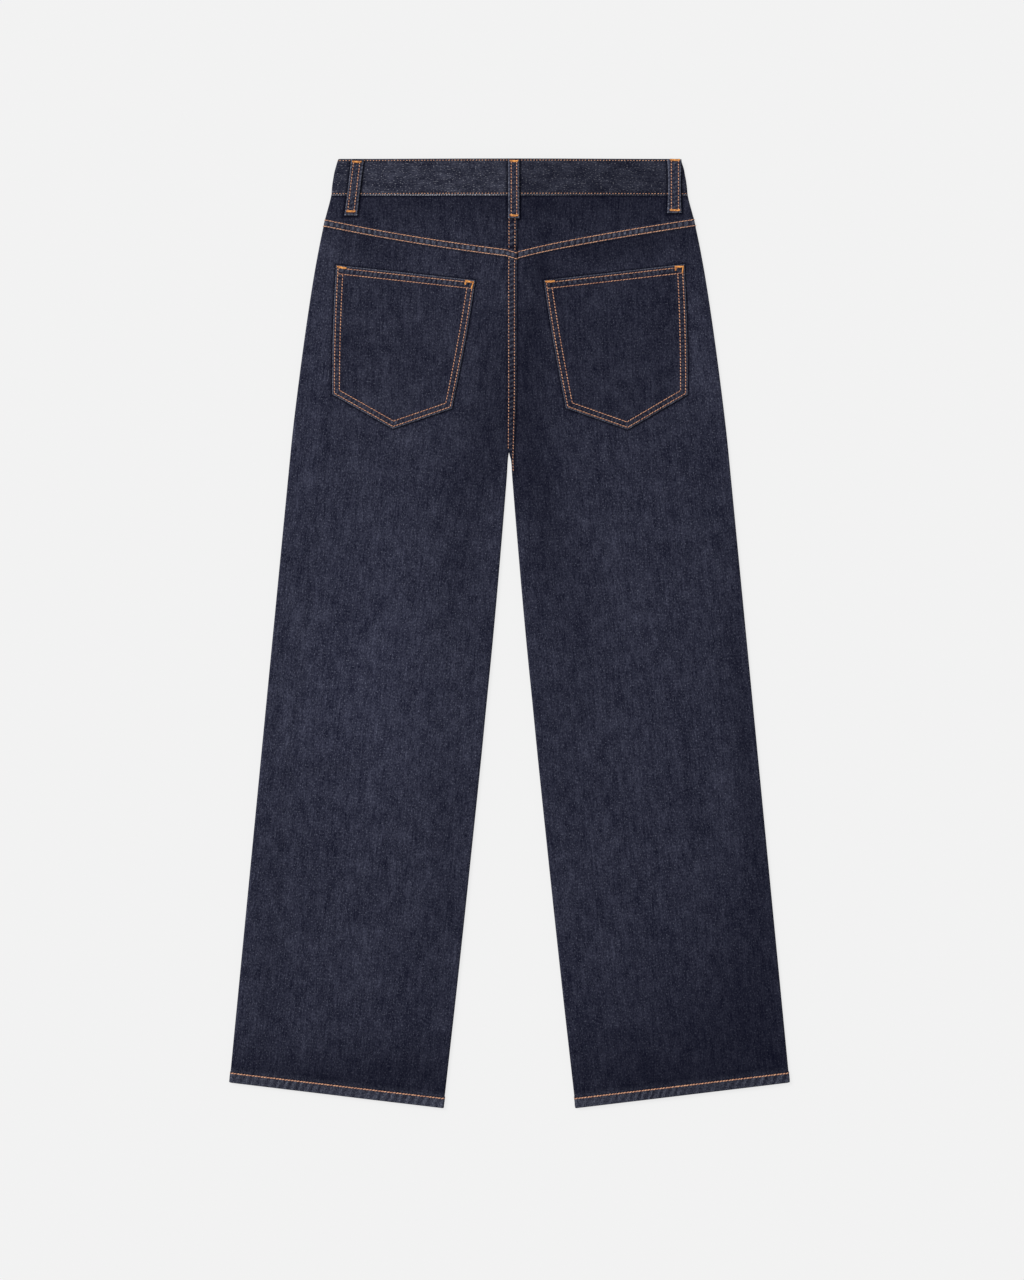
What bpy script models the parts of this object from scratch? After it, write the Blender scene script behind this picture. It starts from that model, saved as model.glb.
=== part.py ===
"""Straight leg jeans, lying flat with the back side up.

Units are metres and +Z is up. +Y runs from the hems to the waist, and -X is the wearer's left.
The front panels lie on the surface at Z = 0 and the back panels lie on them. The back panels are
cut wider than the front ones, so they roll round both edges of a leg and end in a lip beneath it.

A place on the cloth is given by its drop, the distance down from the waist edge, and by x, the
distance from the centre line. Each wall is a pair of point grids, one for each side of the cloth,
which slab() closes into one solid.
"""

import math
from typing import NamedTuple

import bmesh
import bpy
import numpy as np

# Overall sizes
LENGTH = 1.0347            # waist edge to the lowest point of the hems
WAIST_Y = LENGTH / 2       # the garment is centred on the origin
CLOTH = 0.0010             # one layer of denim
SEAM_GAP = 0.0003          # clearance between neighbouring pieces

# Outline
THIGH_DROP = 0.3172        # where the outseam becomes a straight line
THIGH_HALF_WIDTH = 0.2387
OUTSEAM_SLOPE = 0.0968     # how fast the straight outseam moves out
CROTCH_DROP = 0.3195
KNEE_DROP = 0.4807         # where the inseam becomes a straight line
KNEE_HALF_GAP = 0.0142
INSEAM_SLOPE = 0.1042      # how fast the straight inseam moves out
HEM_DROP_IN = LENGTH       # lowest point of the hem, at the inseam
HEM_DROP_OUT = 1.0066      # end of the hem at the outseam
HEM_HEIGHT = 0.0105        # cloth turned up twice at the end of a leg
HEM_WALL = 0.0024

# Height of the cloth over the surface
EDGE_HEIGHT = 0.0052       # both layers at the rolled edges
CROWN = 0.0005             # extra height midway between two edges
LIP_OUT = 0.0080           # reach of the back panel under the outseam edge
LIP_IN = 0.0060            # reach of the back panel under the inseam edge
LIP_ROLLING = 0.0005       # the same while the edge is still rolling under
FRONT_LIFT = 0.0022        # how far the button and front loops hold the front up
LIFT_ACROSS = (0.105, 0.150)
LIFT_DOWN = (0.066, 0.130)
WAIST_RISE = 0.0028        # how far the waist layers raise the back panels
RISE_ACROSS = (0.020, 0.180)
RISE_DOWN = (0.045, 0.150)
CROTCH_DIP = 0.0016        # how far the centre seam sinks towards the crotch
DIP_REACH = 0.045
DIP_DOWN = (0.200, 0.300, 0.335, 0.440)

# Waistband
BAND_HEIGHT = 0.040
BAND_WALL = 0.0020
BAND_RISE = 0.0036         # how far the middle of the back band is raised
BAND_OVERLAP = 0.017       # each end runs this far past the centre front
BAND_STEP = (0.022, 0.060) # where the inner end climbs over the outer one

PANEL_TOP_DROP = BAND_HEIGHT + SEAM_GAP    # where the yokes and front panels begin

# Front
SCOOP_X = 0.095            # where the pocket scoop leaves the waistband
SCOOP_DEPTH = 0.075
FACING_X = 0.080
FACING_DEPTH = 0.090
FACING_INSET = 0.0050
ZIP_HALF_WIDTH = 0.014
ZIP_DROPS = (BAND_HEIGHT + 0.002, 0.170)
ZIP_WALL = 0.0012
BUTTON_RADIUS = 0.0085
BUTTON_HEIGHT = FRONT_LIFT - SEAM_GAP
BUTTON_RIM = 0.0006
BUTTON_SIDES = 28

# Back pockets and belt loops
POCKET_WALL = 0.0014
LOOP_WALL = 0.0018
LOOP_FOOT = 0.008          # the sewn end of a loop
LOOP_ARCH = 0.0010         # how far the middle of a back loop stands off the band
LOOP_TOP_DROP = 0.0004

# Mesh steps
ARC_STEPS = 5
TOP_STEPS = 8
FRONT_STEPS = 10
YOKE_STEPS = 4
LEG_STEPS = 5
SCOOP_STEPS = 6
BAND_ARC_STEPS = 5
BAND_BACK_STEPS = 16
BAND_FRONT_STEPS = 10
POCKET_STEPS = 6
LOOP_STEPS = 8
MIN_ROLL = 0.003           # shortest stretch of cloth given to the inner roll


class EdgeRow(NamedTuple):
    """Half width of the garment at one drop below the waist edge."""

    drop: float
    half_width: float


OUTSEAM = (
    EdgeRow(0.0000, 0.1869),
    EdgeRow(0.0380, 0.1946),
    EdgeRow(0.0665, 0.2017),
    EdgeRow(0.1100, 0.2104),
    EdgeRow(0.1540, 0.2169),
    EdgeRow(0.2410, 0.2294),
    EdgeRow(THIGH_DROP, THIGH_HALF_WIDTH),
    EdgeRow(LENGTH, THIGH_HALF_WIDTH + OUTSEAM_SLOPE * (LENGTH - THIGH_DROP)),
)

INSEAM = (
    EdgeRow(0.0000, SEAM_GAP / 2),
    EdgeRow(CROTCH_DROP, SEAM_GAP / 2),
    EdgeRow(0.3226, 0.0011),
    EdgeRow(0.3717, 0.0055),
    EdgeRow(0.4262, 0.0098),
    EdgeRow(KNEE_DROP, KNEE_HALF_GAP),
    EdgeRow(LENGTH, KNEE_HALF_GAP + INSEAM_SLOPE * (LENGTH - KNEE_DROP)),
)


class Station(NamedTuple):
    """A row of points across one leg, from its centre or inseam edge to its outseam edge."""

    drop_in: float
    drop_out: float
    roll: float = 0.0      # share of the half turn that the inner edge has made round the leg
    bow: float = 0.0       # how far the middle of the row hangs below a straight row
    wall: float = CLOTH


class Side(NamedTuple):
    """One half of the garment, and its slightly different yoke seam."""

    name: str
    sign: float
    yoke_drop_in: float
    yoke_drop_out: float
    yoke_bow: float


SIDES = (
    Side("left", -1.0, 0.1070, 0.0740, 0.0023),
    Side("right", 1.0, 0.1096, 0.0735, -0.0015),
)

HIP_STATIONS = (
    Station(0.150, 0.130),
    Station(0.200, 0.184),
    Station(0.250, 0.237),
    Station(0.295, 0.284),
    Station(CROTCH_DROP, 0.3095),
    Station(0.3230, 0.3130, 0.25),
    Station(0.3270, 0.3170, 0.50),
    Station(0.3315, 0.3210, 0.75),
    Station(0.3375, 0.3265, 1.00),
    Station(0.3717, 0.3580, 1.00),
    Station(0.4262, 0.4100, 1.00),
    Station(KNEE_DROP, 0.4620, 1.00),
)


class Corner(NamedTuple):
    """A corner of a back pocket."""

    x: float
    drop: float


POCKET_TOP_IN = Corner(0.0380, 0.1324)
POCKET_TOP_OUT = Corner(0.1899, 0.1152)
POCKET_BASE_IN = Corner(0.0620, 0.2717)
POCKET_TIP = Corner(0.1280, 0.2945)
POCKET_BASE_OUT = Corner(0.1933, 0.2567)


class Loop(NamedTuple):
    """A belt loop on the back: middle of its top and of its foot, and its width."""

    name: str
    x_top: float
    x_foot: float
    drop_foot: float
    width: float


BACK_LOOPS = (
    Loop("belt_loop_back", 0.0046, 0.0046, 0.0650, 0.0124),
    Loop("belt_loop_side_left", -0.1655, -0.1729, 0.0616, 0.0138),
    Loop("belt_loop_side_right", 0.1797, 0.1797, 0.0588, 0.0150),
)
FRONT_LOOP_X = 0.090
FRONT_LOOP_WIDTH = 0.013
FRONT_LOOP_DROP = 0.060


class Finish(NamedTuple):
    """Colour, roughness and metal share of a material."""

    colour: tuple
    roughness: float
    metallic: float = 0.0


DENIM = Finish((0.024, 0.026, 0.042), 0.90)
BAND_DENIM = Finish((0.034, 0.036, 0.054), 0.90)
POCKET_DENIM = Finish((0.022, 0.024, 0.039), 0.90)
LOOP_DENIM = Finish((0.028, 0.030, 0.047), 0.90)
ZIP_TAPE = Finish((0.020, 0.020, 0.024), 0.85)
BRASS = Finish((0.45, 0.27, 0.14), 0.35, 1.0)


def fade(value, start, end):
    """Fall smoothly from 1 at start to 0 at end."""
    share = np.clip((np.asarray(value, dtype=float) - start) / (end - start), 0.0, 1.0)
    return 1.0 - share * share * (3.0 - 2.0 * share)


def edge(rows, drop):
    """Half width at a drop: a smooth curve through the rows, straight in its end stretches."""
    drops = np.array([row.drop for row in rows])
    widths = np.array([row.half_width for row in rows])
    chords = np.diff(widths) / np.diff(drops)
    slopes = np.concatenate(([chords[0]], (chords[:-1] + chords[1:]) / 2, [chords[-1]]))
    slopes[1] = chords[0]
    slopes[-2] = chords[-1]
    value = np.clip(np.asarray(drop, dtype=float), drops[0], drops[-1])
    index = np.clip(np.searchsorted(drops, value, side="right") - 1, 0, len(rows) - 2)
    span = drops[index + 1] - drops[index]
    share = (value - drops[index]) / span
    rest = 1.0 - share
    return (
        widths[index] * (1.0 + 2.0 * share) * rest**2
        + widths[index + 1] * (3.0 - 2.0 * share) * share**2
        + span * share * rest * (slopes[index] * rest - slopes[index + 1] * share)
    )


def front_height(x, drop):
    """Height of the outer face of the front panels, which the button and loops hold up."""
    return FRONT_LIFT * fade(np.abs(x), *LIFT_ACROSS) * fade(drop, *LIFT_DOWN)


def back_height(x, drop):
    """Height of the outer face of the back panels."""
    x = np.abs(x)
    inner = edge(INSEAM, drop)
    outer = edge(OUTSEAM, drop)
    across = np.clip((x - inner) / (outer - inner), 0.0, 1.0)
    rise = WAIST_RISE * fade(x, *RISE_ACROSS) * fade(drop, *RISE_DOWN)
    deepening = 1.0 - fade(drop, DIP_DOWN[0], DIP_DOWN[1])
    dip = CROTCH_DIP * fade(x - inner, 0.0, DIP_REACH) * deepening * fade(drop, *DIP_DOWN[2:])
    return EDGE_HEIGHT + rise + CROWN * np.sin(math.pi * across) - dip


def band_back_height(x):
    """Height of the outer face of the back half of the waistband."""
    return EDGE_HEIGHT + BAND_RISE * fade(np.abs(x), *RISE_ACROSS)


def place(x, drop, z):
    """Points in the world from x, drop and height."""
    x, drop, z = np.broadcast_arrays(x, drop, z)
    return np.stack((x, WAIST_Y - drop, z), axis=-1)


def material(name, finish):
    """The named material, made once."""
    made = bpy.data.materials.get(name)
    if made:
        return made
    made = bpy.data.materials.new(name)
    made.use_nodes = True
    shader = made.node_tree.nodes["Principled BSDF"]
    shader.inputs["Base Color"].default_value = (*finish.colour, 1.0)
    shader.inputs["Roughness"].default_value = finish.roughness
    shader.inputs["Metallic"].default_value = finish.metallic
    return made


def add_object(name, mesh, finish):
    """Put a mesh in the scene under its name, shaded smooth between its sharp edges."""
    mesh.materials.append(material(name + "_finish", finish))
    mesh.shade_smooth()
    mesh.set_sharp_from_angle(angle=math.radians(40))
    made = bpy.data.objects.new(name, mesh)
    bpy.context.scene.collection.objects.link(made)
    return made


def slab(name, outer, inner, finish):
    """Close two grids of points, the two sides of a wall, into one solid."""
    rows, columns = outer.shape[:2]
    points = np.concatenate((outer.reshape(-1, 3), inner.reshape(-1, 3)))
    index = np.arange(rows * columns).reshape(rows, columns)
    sides = (index, index + rows * columns)
    faces = [
        (grid[r, c], grid[r, c + 1], grid[r + 1, c + 1], grid[r + 1, c])
        for grid in sides
        for r in range(rows - 1)
        for c in range(columns - 1)
    ]
    rim = np.concatenate((index[0, :], index[1:, -1], index[-1, -2::-1], index[-2:0:-1, 0]))
    other_rim = rim + rows * columns
    faces += [
        (rim[k - 1], rim[k], other_rim[k], other_rim[k - 1])
        for k in range(len(rim))
    ]
    mesh = bpy.data.meshes.new(name)
    mesh.from_pydata(points.tolist(), [], [tuple(int(i) for i in face) for face in faces])
    shape = bmesh.new()
    shape.from_mesh(mesh)
    bmesh.ops.recalc_face_normals(shape, faces=shape.faces)
    bmesh.ops.triangulate(shape, faces=shape.faces)
    shape.to_mesh(mesh)
    shape.free()
    return add_object(name, mesh, finish)


def row_drop(station, share):
    """Drop at a share of the way from the inner edge of a row to its outer edge."""
    share = np.clip(share, 0.0, 1.0)
    bow = station.bow * 4.0 * share * (1.0 - share)
    return station.drop_in + (station.drop_out - station.drop_in) * share + bow


def inner_roll(station):
    """The back panel's inner edge: x, height, and the cloth's outward direction.

    It is straight at the centre seam, and below the crotch it turns under, by a half circle at
    most, into a short lip. The curve starts at the top of the cloth and ends at the lip.
    """
    x_in = float(edge(INSEAM, station.drop_in))
    top = float(back_height(x_in + MIN_ROLL, station.drop_in))
    turn = station.roll * math.pi
    length = max(turn * top / 2, MIN_ROLL)
    angles = np.linspace(0.0, turn, ARC_STEPS + 1)
    if turn > 0.0:
        radius = length / turn
        x = -radius * np.sin(angles)
        z = top - radius * (1.0 - np.cos(angles))
    else:
        x = -np.linspace(0.0, length, ARC_STEPS + 1)
        z = np.full(ARC_STEPS + 1, top)
    lip = LIP_IN if station.roll == 1.0 else LIP_ROLLING
    x = np.append(x, x[-1] - lip * math.cos(turn))
    z = np.append(z, z[-1] - lip * math.sin(turn))
    angles = np.append(angles, turn)
    x += x_in - x.min()
    return x, z, -np.sin(angles), np.cos(angles)


def back_section(station):
    """Both sides of the back panel along one row: x, drop and height, from lip to lip."""
    x_in = float(edge(INSEAM, station.drop_in))
    x_out = float(edge(OUTSEAM, station.drop_out))
    radius = EDGE_HEIGHT / 2
    angles = np.linspace(-math.pi / 2, math.pi / 2, ARC_STEPS + 1)
    roll_x, roll_z, roll_nx, roll_nz = inner_roll(station)
    top_x = np.linspace(x_out - radius, roll_x[0], TOP_STEPS + 1)[1:-1]
    x = np.concatenate(([x_out - LIP_OUT], x_out - radius + radius * np.cos(angles), top_x, roll_x))
    drop = row_drop(station, (x - x_in) / (x_out - x_in))
    top_z = back_height(top_x, drop[ARC_STEPS + 2:ARC_STEPS + 1 + TOP_STEPS])
    z = np.concatenate(([0.0], radius + radius * np.sin(angles), top_z, roll_z))
    flat = np.zeros(TOP_STEPS - 1)
    normal_x = np.concatenate(([0.0], np.cos(angles), flat, roll_nx))
    normal_z = np.concatenate(([-1.0], np.sin(angles), flat + 1.0, roll_nz))
    inner_x = x - station.wall * normal_x
    inner_z = z - station.wall * normal_z
    return (x, drop, z), (inner_x, drop, inner_z)


def build_back(name, side, stations, finish):
    """A back panel or yoke from its rows."""
    sections = [back_section(station) for station in stations]
    outer = np.array([place(side.sign * x, drop, z) for (x, drop, z), _ in sections])
    inner = np.array([place(side.sign * x, drop, z) for _, (x, drop, z) in sections])
    return slab(name, outer, inner, finish)


def yoke_edge(side, gap):
    """The row along the yoke seam, moved down by gap."""
    return Station(side.yoke_drop_in + gap, side.yoke_drop_out + gap, bow=side.yoke_bow)


def between(first, last, steps):
    """Rows evenly spaced from one row to another, both included."""
    return [
        Station(*(a + (b - a) * k / steps for a, b in zip(first, last)))
        for k in range(steps + 1)
    ]


def lower_stations():
    """Rows from the knee to the end of the leg, where the wall thickens into the hem."""
    slant = HEM_DROP_IN - HEM_DROP_OUT
    hem_top = HEM_DROP_IN - HEM_HEIGHT
    step = SEAM_GAP
    above = Station(hem_top - step, hem_top - step - slant, 1.0)
    hem = Station(hem_top, hem_top - slant, 1.0, wall=HEM_WALL)
    end = Station(HEM_DROP_IN, HEM_DROP_OUT, 1.0, wall=HEM_WALL)
    return between(HIP_STATIONS[-1], above, LEG_STEPS)[1:] + [hem, end]


def front_section(station):
    """Both sides of the front panel along one row, between the back panel's two lips."""
    roll_x, roll_z, roll_nx, roll_nz = inner_roll(station)
    low_x = np.concatenate((roll_x, roll_x - station.wall * roll_nx))
    low_z = np.concatenate((roll_z, roll_z - station.wall * roll_nz))
    under = low_x[low_z < station.wall + SEAM_GAP]
    x_in = float(edge(INSEAM, station.drop_in))
    start = under.max() + SEAM_GAP if under.size else x_in
    x_out = float(edge(OUTSEAM, station.drop_out))
    x = np.linspace(start, x_out - LIP_OUT - SEAM_GAP, FRONT_STEPS + 1)
    drop = row_drop(station, (x - x_in) / (x_out - x_in))
    z = front_height(x, drop)
    return (x, drop, z), (x, drop, z + station.wall)


def scoop_sections():
    """Rows of the front panel beside the pocket scoop, a quarter of an ellipse."""
    first = PANEL_TOP_DROP
    last = HIP_STATIONS[0]
    sections = []
    for k in range(SCOOP_STEPS):
        angle = math.pi / 2 * k / SCOOP_STEPS
        drop_out = first + SCOOP_DEPTH * math.sin(angle)
        side_x = float(edge(OUTSEAM, drop_out)) - LIP_OUT - SEAM_GAP
        x_out = side_x - (side_x - SCOOP_X) * math.cos(angle)
        drop_in = first + (last.drop_in - first) * k / (SCOOP_STEPS + 1)
        x = np.linspace(SEAM_GAP / 2, x_out, FRONT_STEPS + 1)
        drop = np.linspace(drop_in, drop_out, FRONT_STEPS + 1)
        z = front_height(x, drop)
        sections.append(((x, drop, z), (x, drop, z + CLOTH)))
    return sections


def build_front(side):
    """A front panel, scooped at its upper outer corner."""
    sections = scoop_sections()
    sections += [front_section(station) for station in HIP_STATIONS + tuple(lower_stations())]
    outer = np.array([place(side.sign * x, drop, z) for (x, drop, z), _ in sections])
    inner = np.array([place(side.sign * x, drop, z) for _, (x, drop, z) in sections])
    return slab("front_leg_" + side.name, outer, inner, DENIM)


def front_plate(name, sign, drops, x_limits, wall, finish):
    """A plate lying just inside the front panels: x_limits(drop) gives its two edges."""
    bottom = []
    for drop in drops:
        x = np.linspace(*x_limits(drop), FRONT_STEPS + 1)
        z = front_height(x, drop) + CLOTH + SEAM_GAP
        bottom.append(place(sign * x, drop, z))
    bottom = np.array(bottom)
    return slab(name, bottom, bottom + (0.0, 0.0, wall), finish)


def build_facing(side):
    """The cloth that shows behind the scooped front pocket."""
    drops = np.linspace(PANEL_TOP_DROP, PANEL_TOP_DROP + FACING_DEPTH, YOKE_STEPS + 2)
    return front_plate(
        "pocket_facing_" + side.name,
        side.sign,
        drops,
        lambda drop: (FACING_X, float(edge(OUTSEAM, drop)) - FACING_INSET),
        CLOTH,
        DENIM,
    )


def build_zip():
    """The zip's tape, behind the closed fly."""
    drops = np.linspace(*ZIP_DROPS, YOKE_STEPS * 2 + 1)
    limits = (-ZIP_HALF_WIDTH, ZIP_HALF_WIDTH)
    return front_plate("fly_zip", 1.0, drops, lambda drop: limits, ZIP_WALL, ZIP_TAPE)


def band_section(drop):
    """Both sides of the waistband at one drop, from its outer end round to its inner end."""
    half_width = float(edge(OUTSEAM, drop))
    radius = EDGE_HEIGHT / 2
    turn = half_width - radius
    angles = np.linspace(-math.pi / 2, math.pi / 2, BAND_ARC_STEPS + 1)
    front_left = np.linspace(BAND_OVERLAP, -turn, BAND_FRONT_STEPS + 1)[:-1]
    back = np.linspace(-turn, turn, BAND_BACK_STEPS + 1)[1:-1]
    front_right = np.linspace(turn, -BAND_OVERLAP, BAND_FRONT_STEPS + 1)[1:]
    climb = (BAND_WALL + SEAM_GAP) * fade(front_right, *BAND_STEP)
    x = np.concatenate((
        front_left,
        -turn - radius * np.cos(angles),
        back,
        turn + radius * np.cos(angles[::-1]),
        front_right,
    ))
    z = np.concatenate((
        front_height(front_left, 0.0),
        radius + radius * np.sin(angles),
        band_back_height(back),
        radius + radius * np.sin(angles[::-1]),
        front_height(front_right, 0.0) + climb,
    ))
    normal_x = np.concatenate((
        0.0 * front_left, -np.cos(angles), 0.0 * back, np.cos(angles[::-1]), 0.0 * front_right
    ))
    normal_z = np.concatenate((
        0.0 * front_left - 1.0,
        np.sin(angles),
        0.0 * back + 1.0,
        np.sin(angles[::-1]),
        0.0 * front_right - 1.0,
    ))
    outer = place(x, drop, z)
    inner = place(x - BAND_WALL * normal_x, drop, z - BAND_WALL * normal_z)
    return outer, inner


def build_waistband():
    """The waistband: one strip round the waist whose ends overlap at the centre front."""
    sections = [band_section(drop) for drop in np.linspace(0.0, BAND_HEIGHT, 3)]
    outer = np.array([section[0] for section in sections])
    inner = np.array([section[1] for section in sections])
    return slab("waistband", outer, inner, BAND_DENIM)


def corner_line(corners, columns):
    """Points along a line of pocket corners, which are evenly spaced in the columns."""
    places = np.linspace(0.0, 1.0, len(corners))
    x = np.interp(columns, places, [corner.x for corner in corners])
    drop = np.interp(columns, places, [corner.drop for corner in corners])
    return x, drop


def build_pocket(side):
    """A back pocket: its rows run from the straight top edge to the pointed base."""
    columns = np.linspace(0.0, 1.0, POCKET_STEPS + 1)
    rows = columns[:, None]
    top_x, top_drop = corner_line((POCKET_TOP_IN, POCKET_TOP_OUT), columns)
    base_x, base_drop = corner_line((POCKET_BASE_IN, POCKET_TIP, POCKET_BASE_OUT), columns)
    x = top_x + (base_x - top_x) * rows
    drop = top_drop + (base_drop - top_drop) * rows
    bottom = place(side.sign * x, drop, back_height(x, drop) + SEAM_GAP)
    return slab("back_pocket_" + side.name, bottom, bottom + (0.0, 0.0, POCKET_WALL), POCKET_DENIM)


def build_back_loop(loop):
    """A belt loop on the back: sewn down at both ends, it stands a little off the band between."""
    drops = np.linspace(LOOP_TOP_DROP, loop.drop_foot, LOOP_STEPS + 1)
    share = (drops - LOOP_TOP_DROP) / (loop.drop_foot - LOOP_TOP_DROP)
    middle = loop.x_top + (loop.x_foot - loop.x_top) * share
    foot = LOOP_FOOT / (loop.drop_foot - LOOP_TOP_DROP)
    standing = np.sin(math.pi * np.clip((share - foot) / (1.0 - 2.0 * foot), 0.0, 1.0))
    across = np.linspace(-loop.width / 2, loop.width / 2, 3)
    x = middle[:, None] + across[None, :]
    drop = np.broadcast_to(drops[:, None], x.shape)
    below = np.maximum(
        band_back_height(x) * (drop <= BAND_HEIGHT + LOOP_FOOT / 2), back_height(x, drop)
    )
    z = below.max(axis=1, keepdims=True) + SEAM_GAP + LOOP_ARCH * standing[:, None]
    bottom = place(x, drop, z)
    return slab(loop.name, bottom, bottom + (0.0, 0.0, LOOP_WALL), LOOP_DENIM)


def build_front_loop(side):
    """A belt loop on the front, pressed flat between the band and the surface."""
    drops = np.linspace(LOOP_TOP_DROP, FRONT_LOOP_DROP, 3)
    across = np.linspace(-FRONT_LOOP_WIDTH / 2, FRONT_LOOP_WIDTH / 2, 3)
    bottom = place(side.sign * (FRONT_LOOP_X + across[None, :]), drops[:, None], 0.0)
    name = "belt_loop_front_" + side.name
    return slab(name, bottom, bottom + (0.0, 0.0, LOOP_WALL), LOOP_DENIM)


def build_button():
    """The waist button, face down under the outer end of the waistband."""
    profile = (
        (0.0, 0.0),
        (BUTTON_RADIUS - BUTTON_RIM, 0.0),
        (BUTTON_RADIUS, BUTTON_RIM),
        (BUTTON_RADIUS, BUTTON_HEIGHT - BUTTON_RIM),
        (BUTTON_RADIUS - BUTTON_RIM, BUTTON_HEIGHT),
        (0.0, BUTTON_HEIGHT),
    )
    shape = bmesh.new()
    verts = [shape.verts.new((radius, 0.0, z)) for radius, z in profile]
    edges = [shape.edges.new(pair) for pair in zip(verts, verts[1:])]
    bmesh.ops.spin(
        shape,
        geom=verts + edges,
        cent=(0.0, 0.0, 0.0),
        axis=(0.0, 0.0, 1.0),
        angle=math.tau,
        steps=BUTTON_SIDES,
        use_merge=True,
    )
    bmesh.ops.remove_doubles(shape, verts=shape.verts, dist=SEAM_GAP / 10)
    bmesh.ops.recalc_face_normals(shape, faces=shape.faces)
    mesh = bpy.data.meshes.new("waist_button")
    shape.to_mesh(mesh)
    shape.free()
    made = add_object("waist_button", mesh, BRASS)
    made.location = (0.0, WAIST_Y - BAND_HEIGHT / 2, 0.0)
    return made


def main():
    """Build every piece of the jeans."""
    for old in list(bpy.data.objects):
        bpy.data.objects.remove(old)
    for side in SIDES:
        yoke_top = Station(PANEL_TOP_DROP, PANEL_TOP_DROP)
        yoke = between(yoke_top, yoke_edge(side, -SEAM_GAP), YOKE_STEPS)
        build_back("yoke_" + side.name, side, yoke, DENIM)
        leg = [yoke_edge(side, 0.0)] + list(HIP_STATIONS) + lower_stations()
        build_back("back_leg_" + side.name, side, leg, DENIM)
        build_front(side)
        build_facing(side)
        build_pocket(side)
        build_front_loop(side)
    build_waistband()
    for loop in BACK_LOOPS:
        build_back_loop(loop)
    build_zip()
    build_button()


main()
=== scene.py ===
"""Straight leg jeans laid flat with the back side up: the cloth, seams, stitching and finish.

Units are metres and +Z is up. +Y runs from the hems to the waist, and -X is the wearer's left.
A place on the cloth is given by x and by its drop, the distance down from the waist edge. Every
cloth piece is a closed shell: a dense grid for the side that shows, a coarse one for its other
side, and a strip of faces that joins their rims.
"""

import logging
import math
from dataclasses import dataclass, replace
from enum import Enum
from typing import NamedTuple, Sequence

import bpy
import numpy as np
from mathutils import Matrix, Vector


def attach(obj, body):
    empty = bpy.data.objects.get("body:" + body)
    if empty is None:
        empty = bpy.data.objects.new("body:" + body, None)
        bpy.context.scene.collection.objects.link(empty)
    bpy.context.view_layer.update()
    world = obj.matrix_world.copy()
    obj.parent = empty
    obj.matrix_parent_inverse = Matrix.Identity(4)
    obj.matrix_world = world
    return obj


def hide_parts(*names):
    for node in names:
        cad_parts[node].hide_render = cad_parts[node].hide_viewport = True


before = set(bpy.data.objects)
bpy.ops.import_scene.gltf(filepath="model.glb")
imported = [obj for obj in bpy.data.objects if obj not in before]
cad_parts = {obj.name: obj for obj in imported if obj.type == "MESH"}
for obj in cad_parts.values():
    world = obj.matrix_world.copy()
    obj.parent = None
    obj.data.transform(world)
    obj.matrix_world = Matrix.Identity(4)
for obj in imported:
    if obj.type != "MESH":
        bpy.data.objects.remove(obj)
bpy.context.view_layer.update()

log = logging.getLogger("jeans")
Array = np.ndarray
Colour = tuple[float, float, float]
Socket = bpy.types.NodeSocket
Piece = bpy.types.Object
Spot = tuple[float, float, float]

# Outline of the garment
LENGTH = 1.0347            # waist edge to the lowest point of the hems
WAIST_Y = LENGTH / 2
SEAM_GAP = 0.0003          # clearance between neighbouring pieces
CLOTH = 0.0010             # one layer of denim
EDGE_HEIGHT = 0.0052       # both layers at the rolled edges
CROWN = 0.0005
LIP_OUT = 0.0080           # reach of the back panel under the outseam edge
LIP_IN = 0.0060
LIP_ROLLING = 0.0005
MIN_ROLL = 0.003
CROTCH_DROP = 0.3176
THIGH_DROP = 0.3450
UP = (0.0, 0.0, 1.0)
DOWN = (0.0, 0.0, -1.0)
GROOVE = 0.0006            # reach of the groove that a row of stitches makes
FOLD = 0.0007              # how far in the rounded fold of a seam reaches
PUCKER_PITCH = 0.0060      # from one pucker of a seam to the next
LIFT = 0.0001              # least height of a piece over what it lies on
CLEAR = 0.00005            # gap beneath a piece that is sewn flat onto others
YOKE_REACH = 0.2031        # x at which the lower edge of a yoke meets the outseam
SHARP = 55.0               # degrees from which an edge is shaded as sharp
FACING_UP = 0.5            # cloth lies on top where its outward direction rises more than this
EDGE_WEAR_AND_HIGHLIGHT = 0.05           # paler rolled edges of the legs and yokes: partly worn dye, partly painted highlight

# The front lies a little off the surface, so that its stitches have room beneath it
FRONT_CLEAR = 0.0003
FRONT_LIFT = 0.0022        # how far the button and front loops hold the front up
LIFT_ACROSS = (0.105, 0.150)
LIFT_DOWN = (0.066, 0.130)
WAIST_RISE = 0.0028        # how far the waist layers raise the back panels
RISE_ACROSS = (0.020, 0.180)
RISE_DOWN = (0.045, 0.150)
CROTCH_DIP = 0.0016
DIP_REACH = 0.045
DIP_DOWN = (0.200, 0.300, 0.335, 0.440)

# Waistband
BAND_HEIGHT = 0.0400
BAND_WALL = 0.0020
BAND_RISE = 0.0036
BAND_OVERLAP = 0.017       # each end runs this far past the centre front
BAND_STEP = (0.022, 0.060)
PANEL_TOP_DROP = BAND_HEIGHT + SEAM_GAP
YOKE_TUCK = 0.0004         # how far a yoke runs up under the fold of the waistband

# Hem
HEM_HEIGHT = 0.0118        # cloth turned up twice at the end of a leg
HEM_WALL = 0.0024
HEM_ROW = 0.0106           # the hem's row of stitches above the end of the leg
HEM_NEAR = 0.003           # a panel's rows lie closer together from this far above the hem
WARP_LEAN = 5.7            # degrees by which the warp of a leg leans outwards

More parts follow.
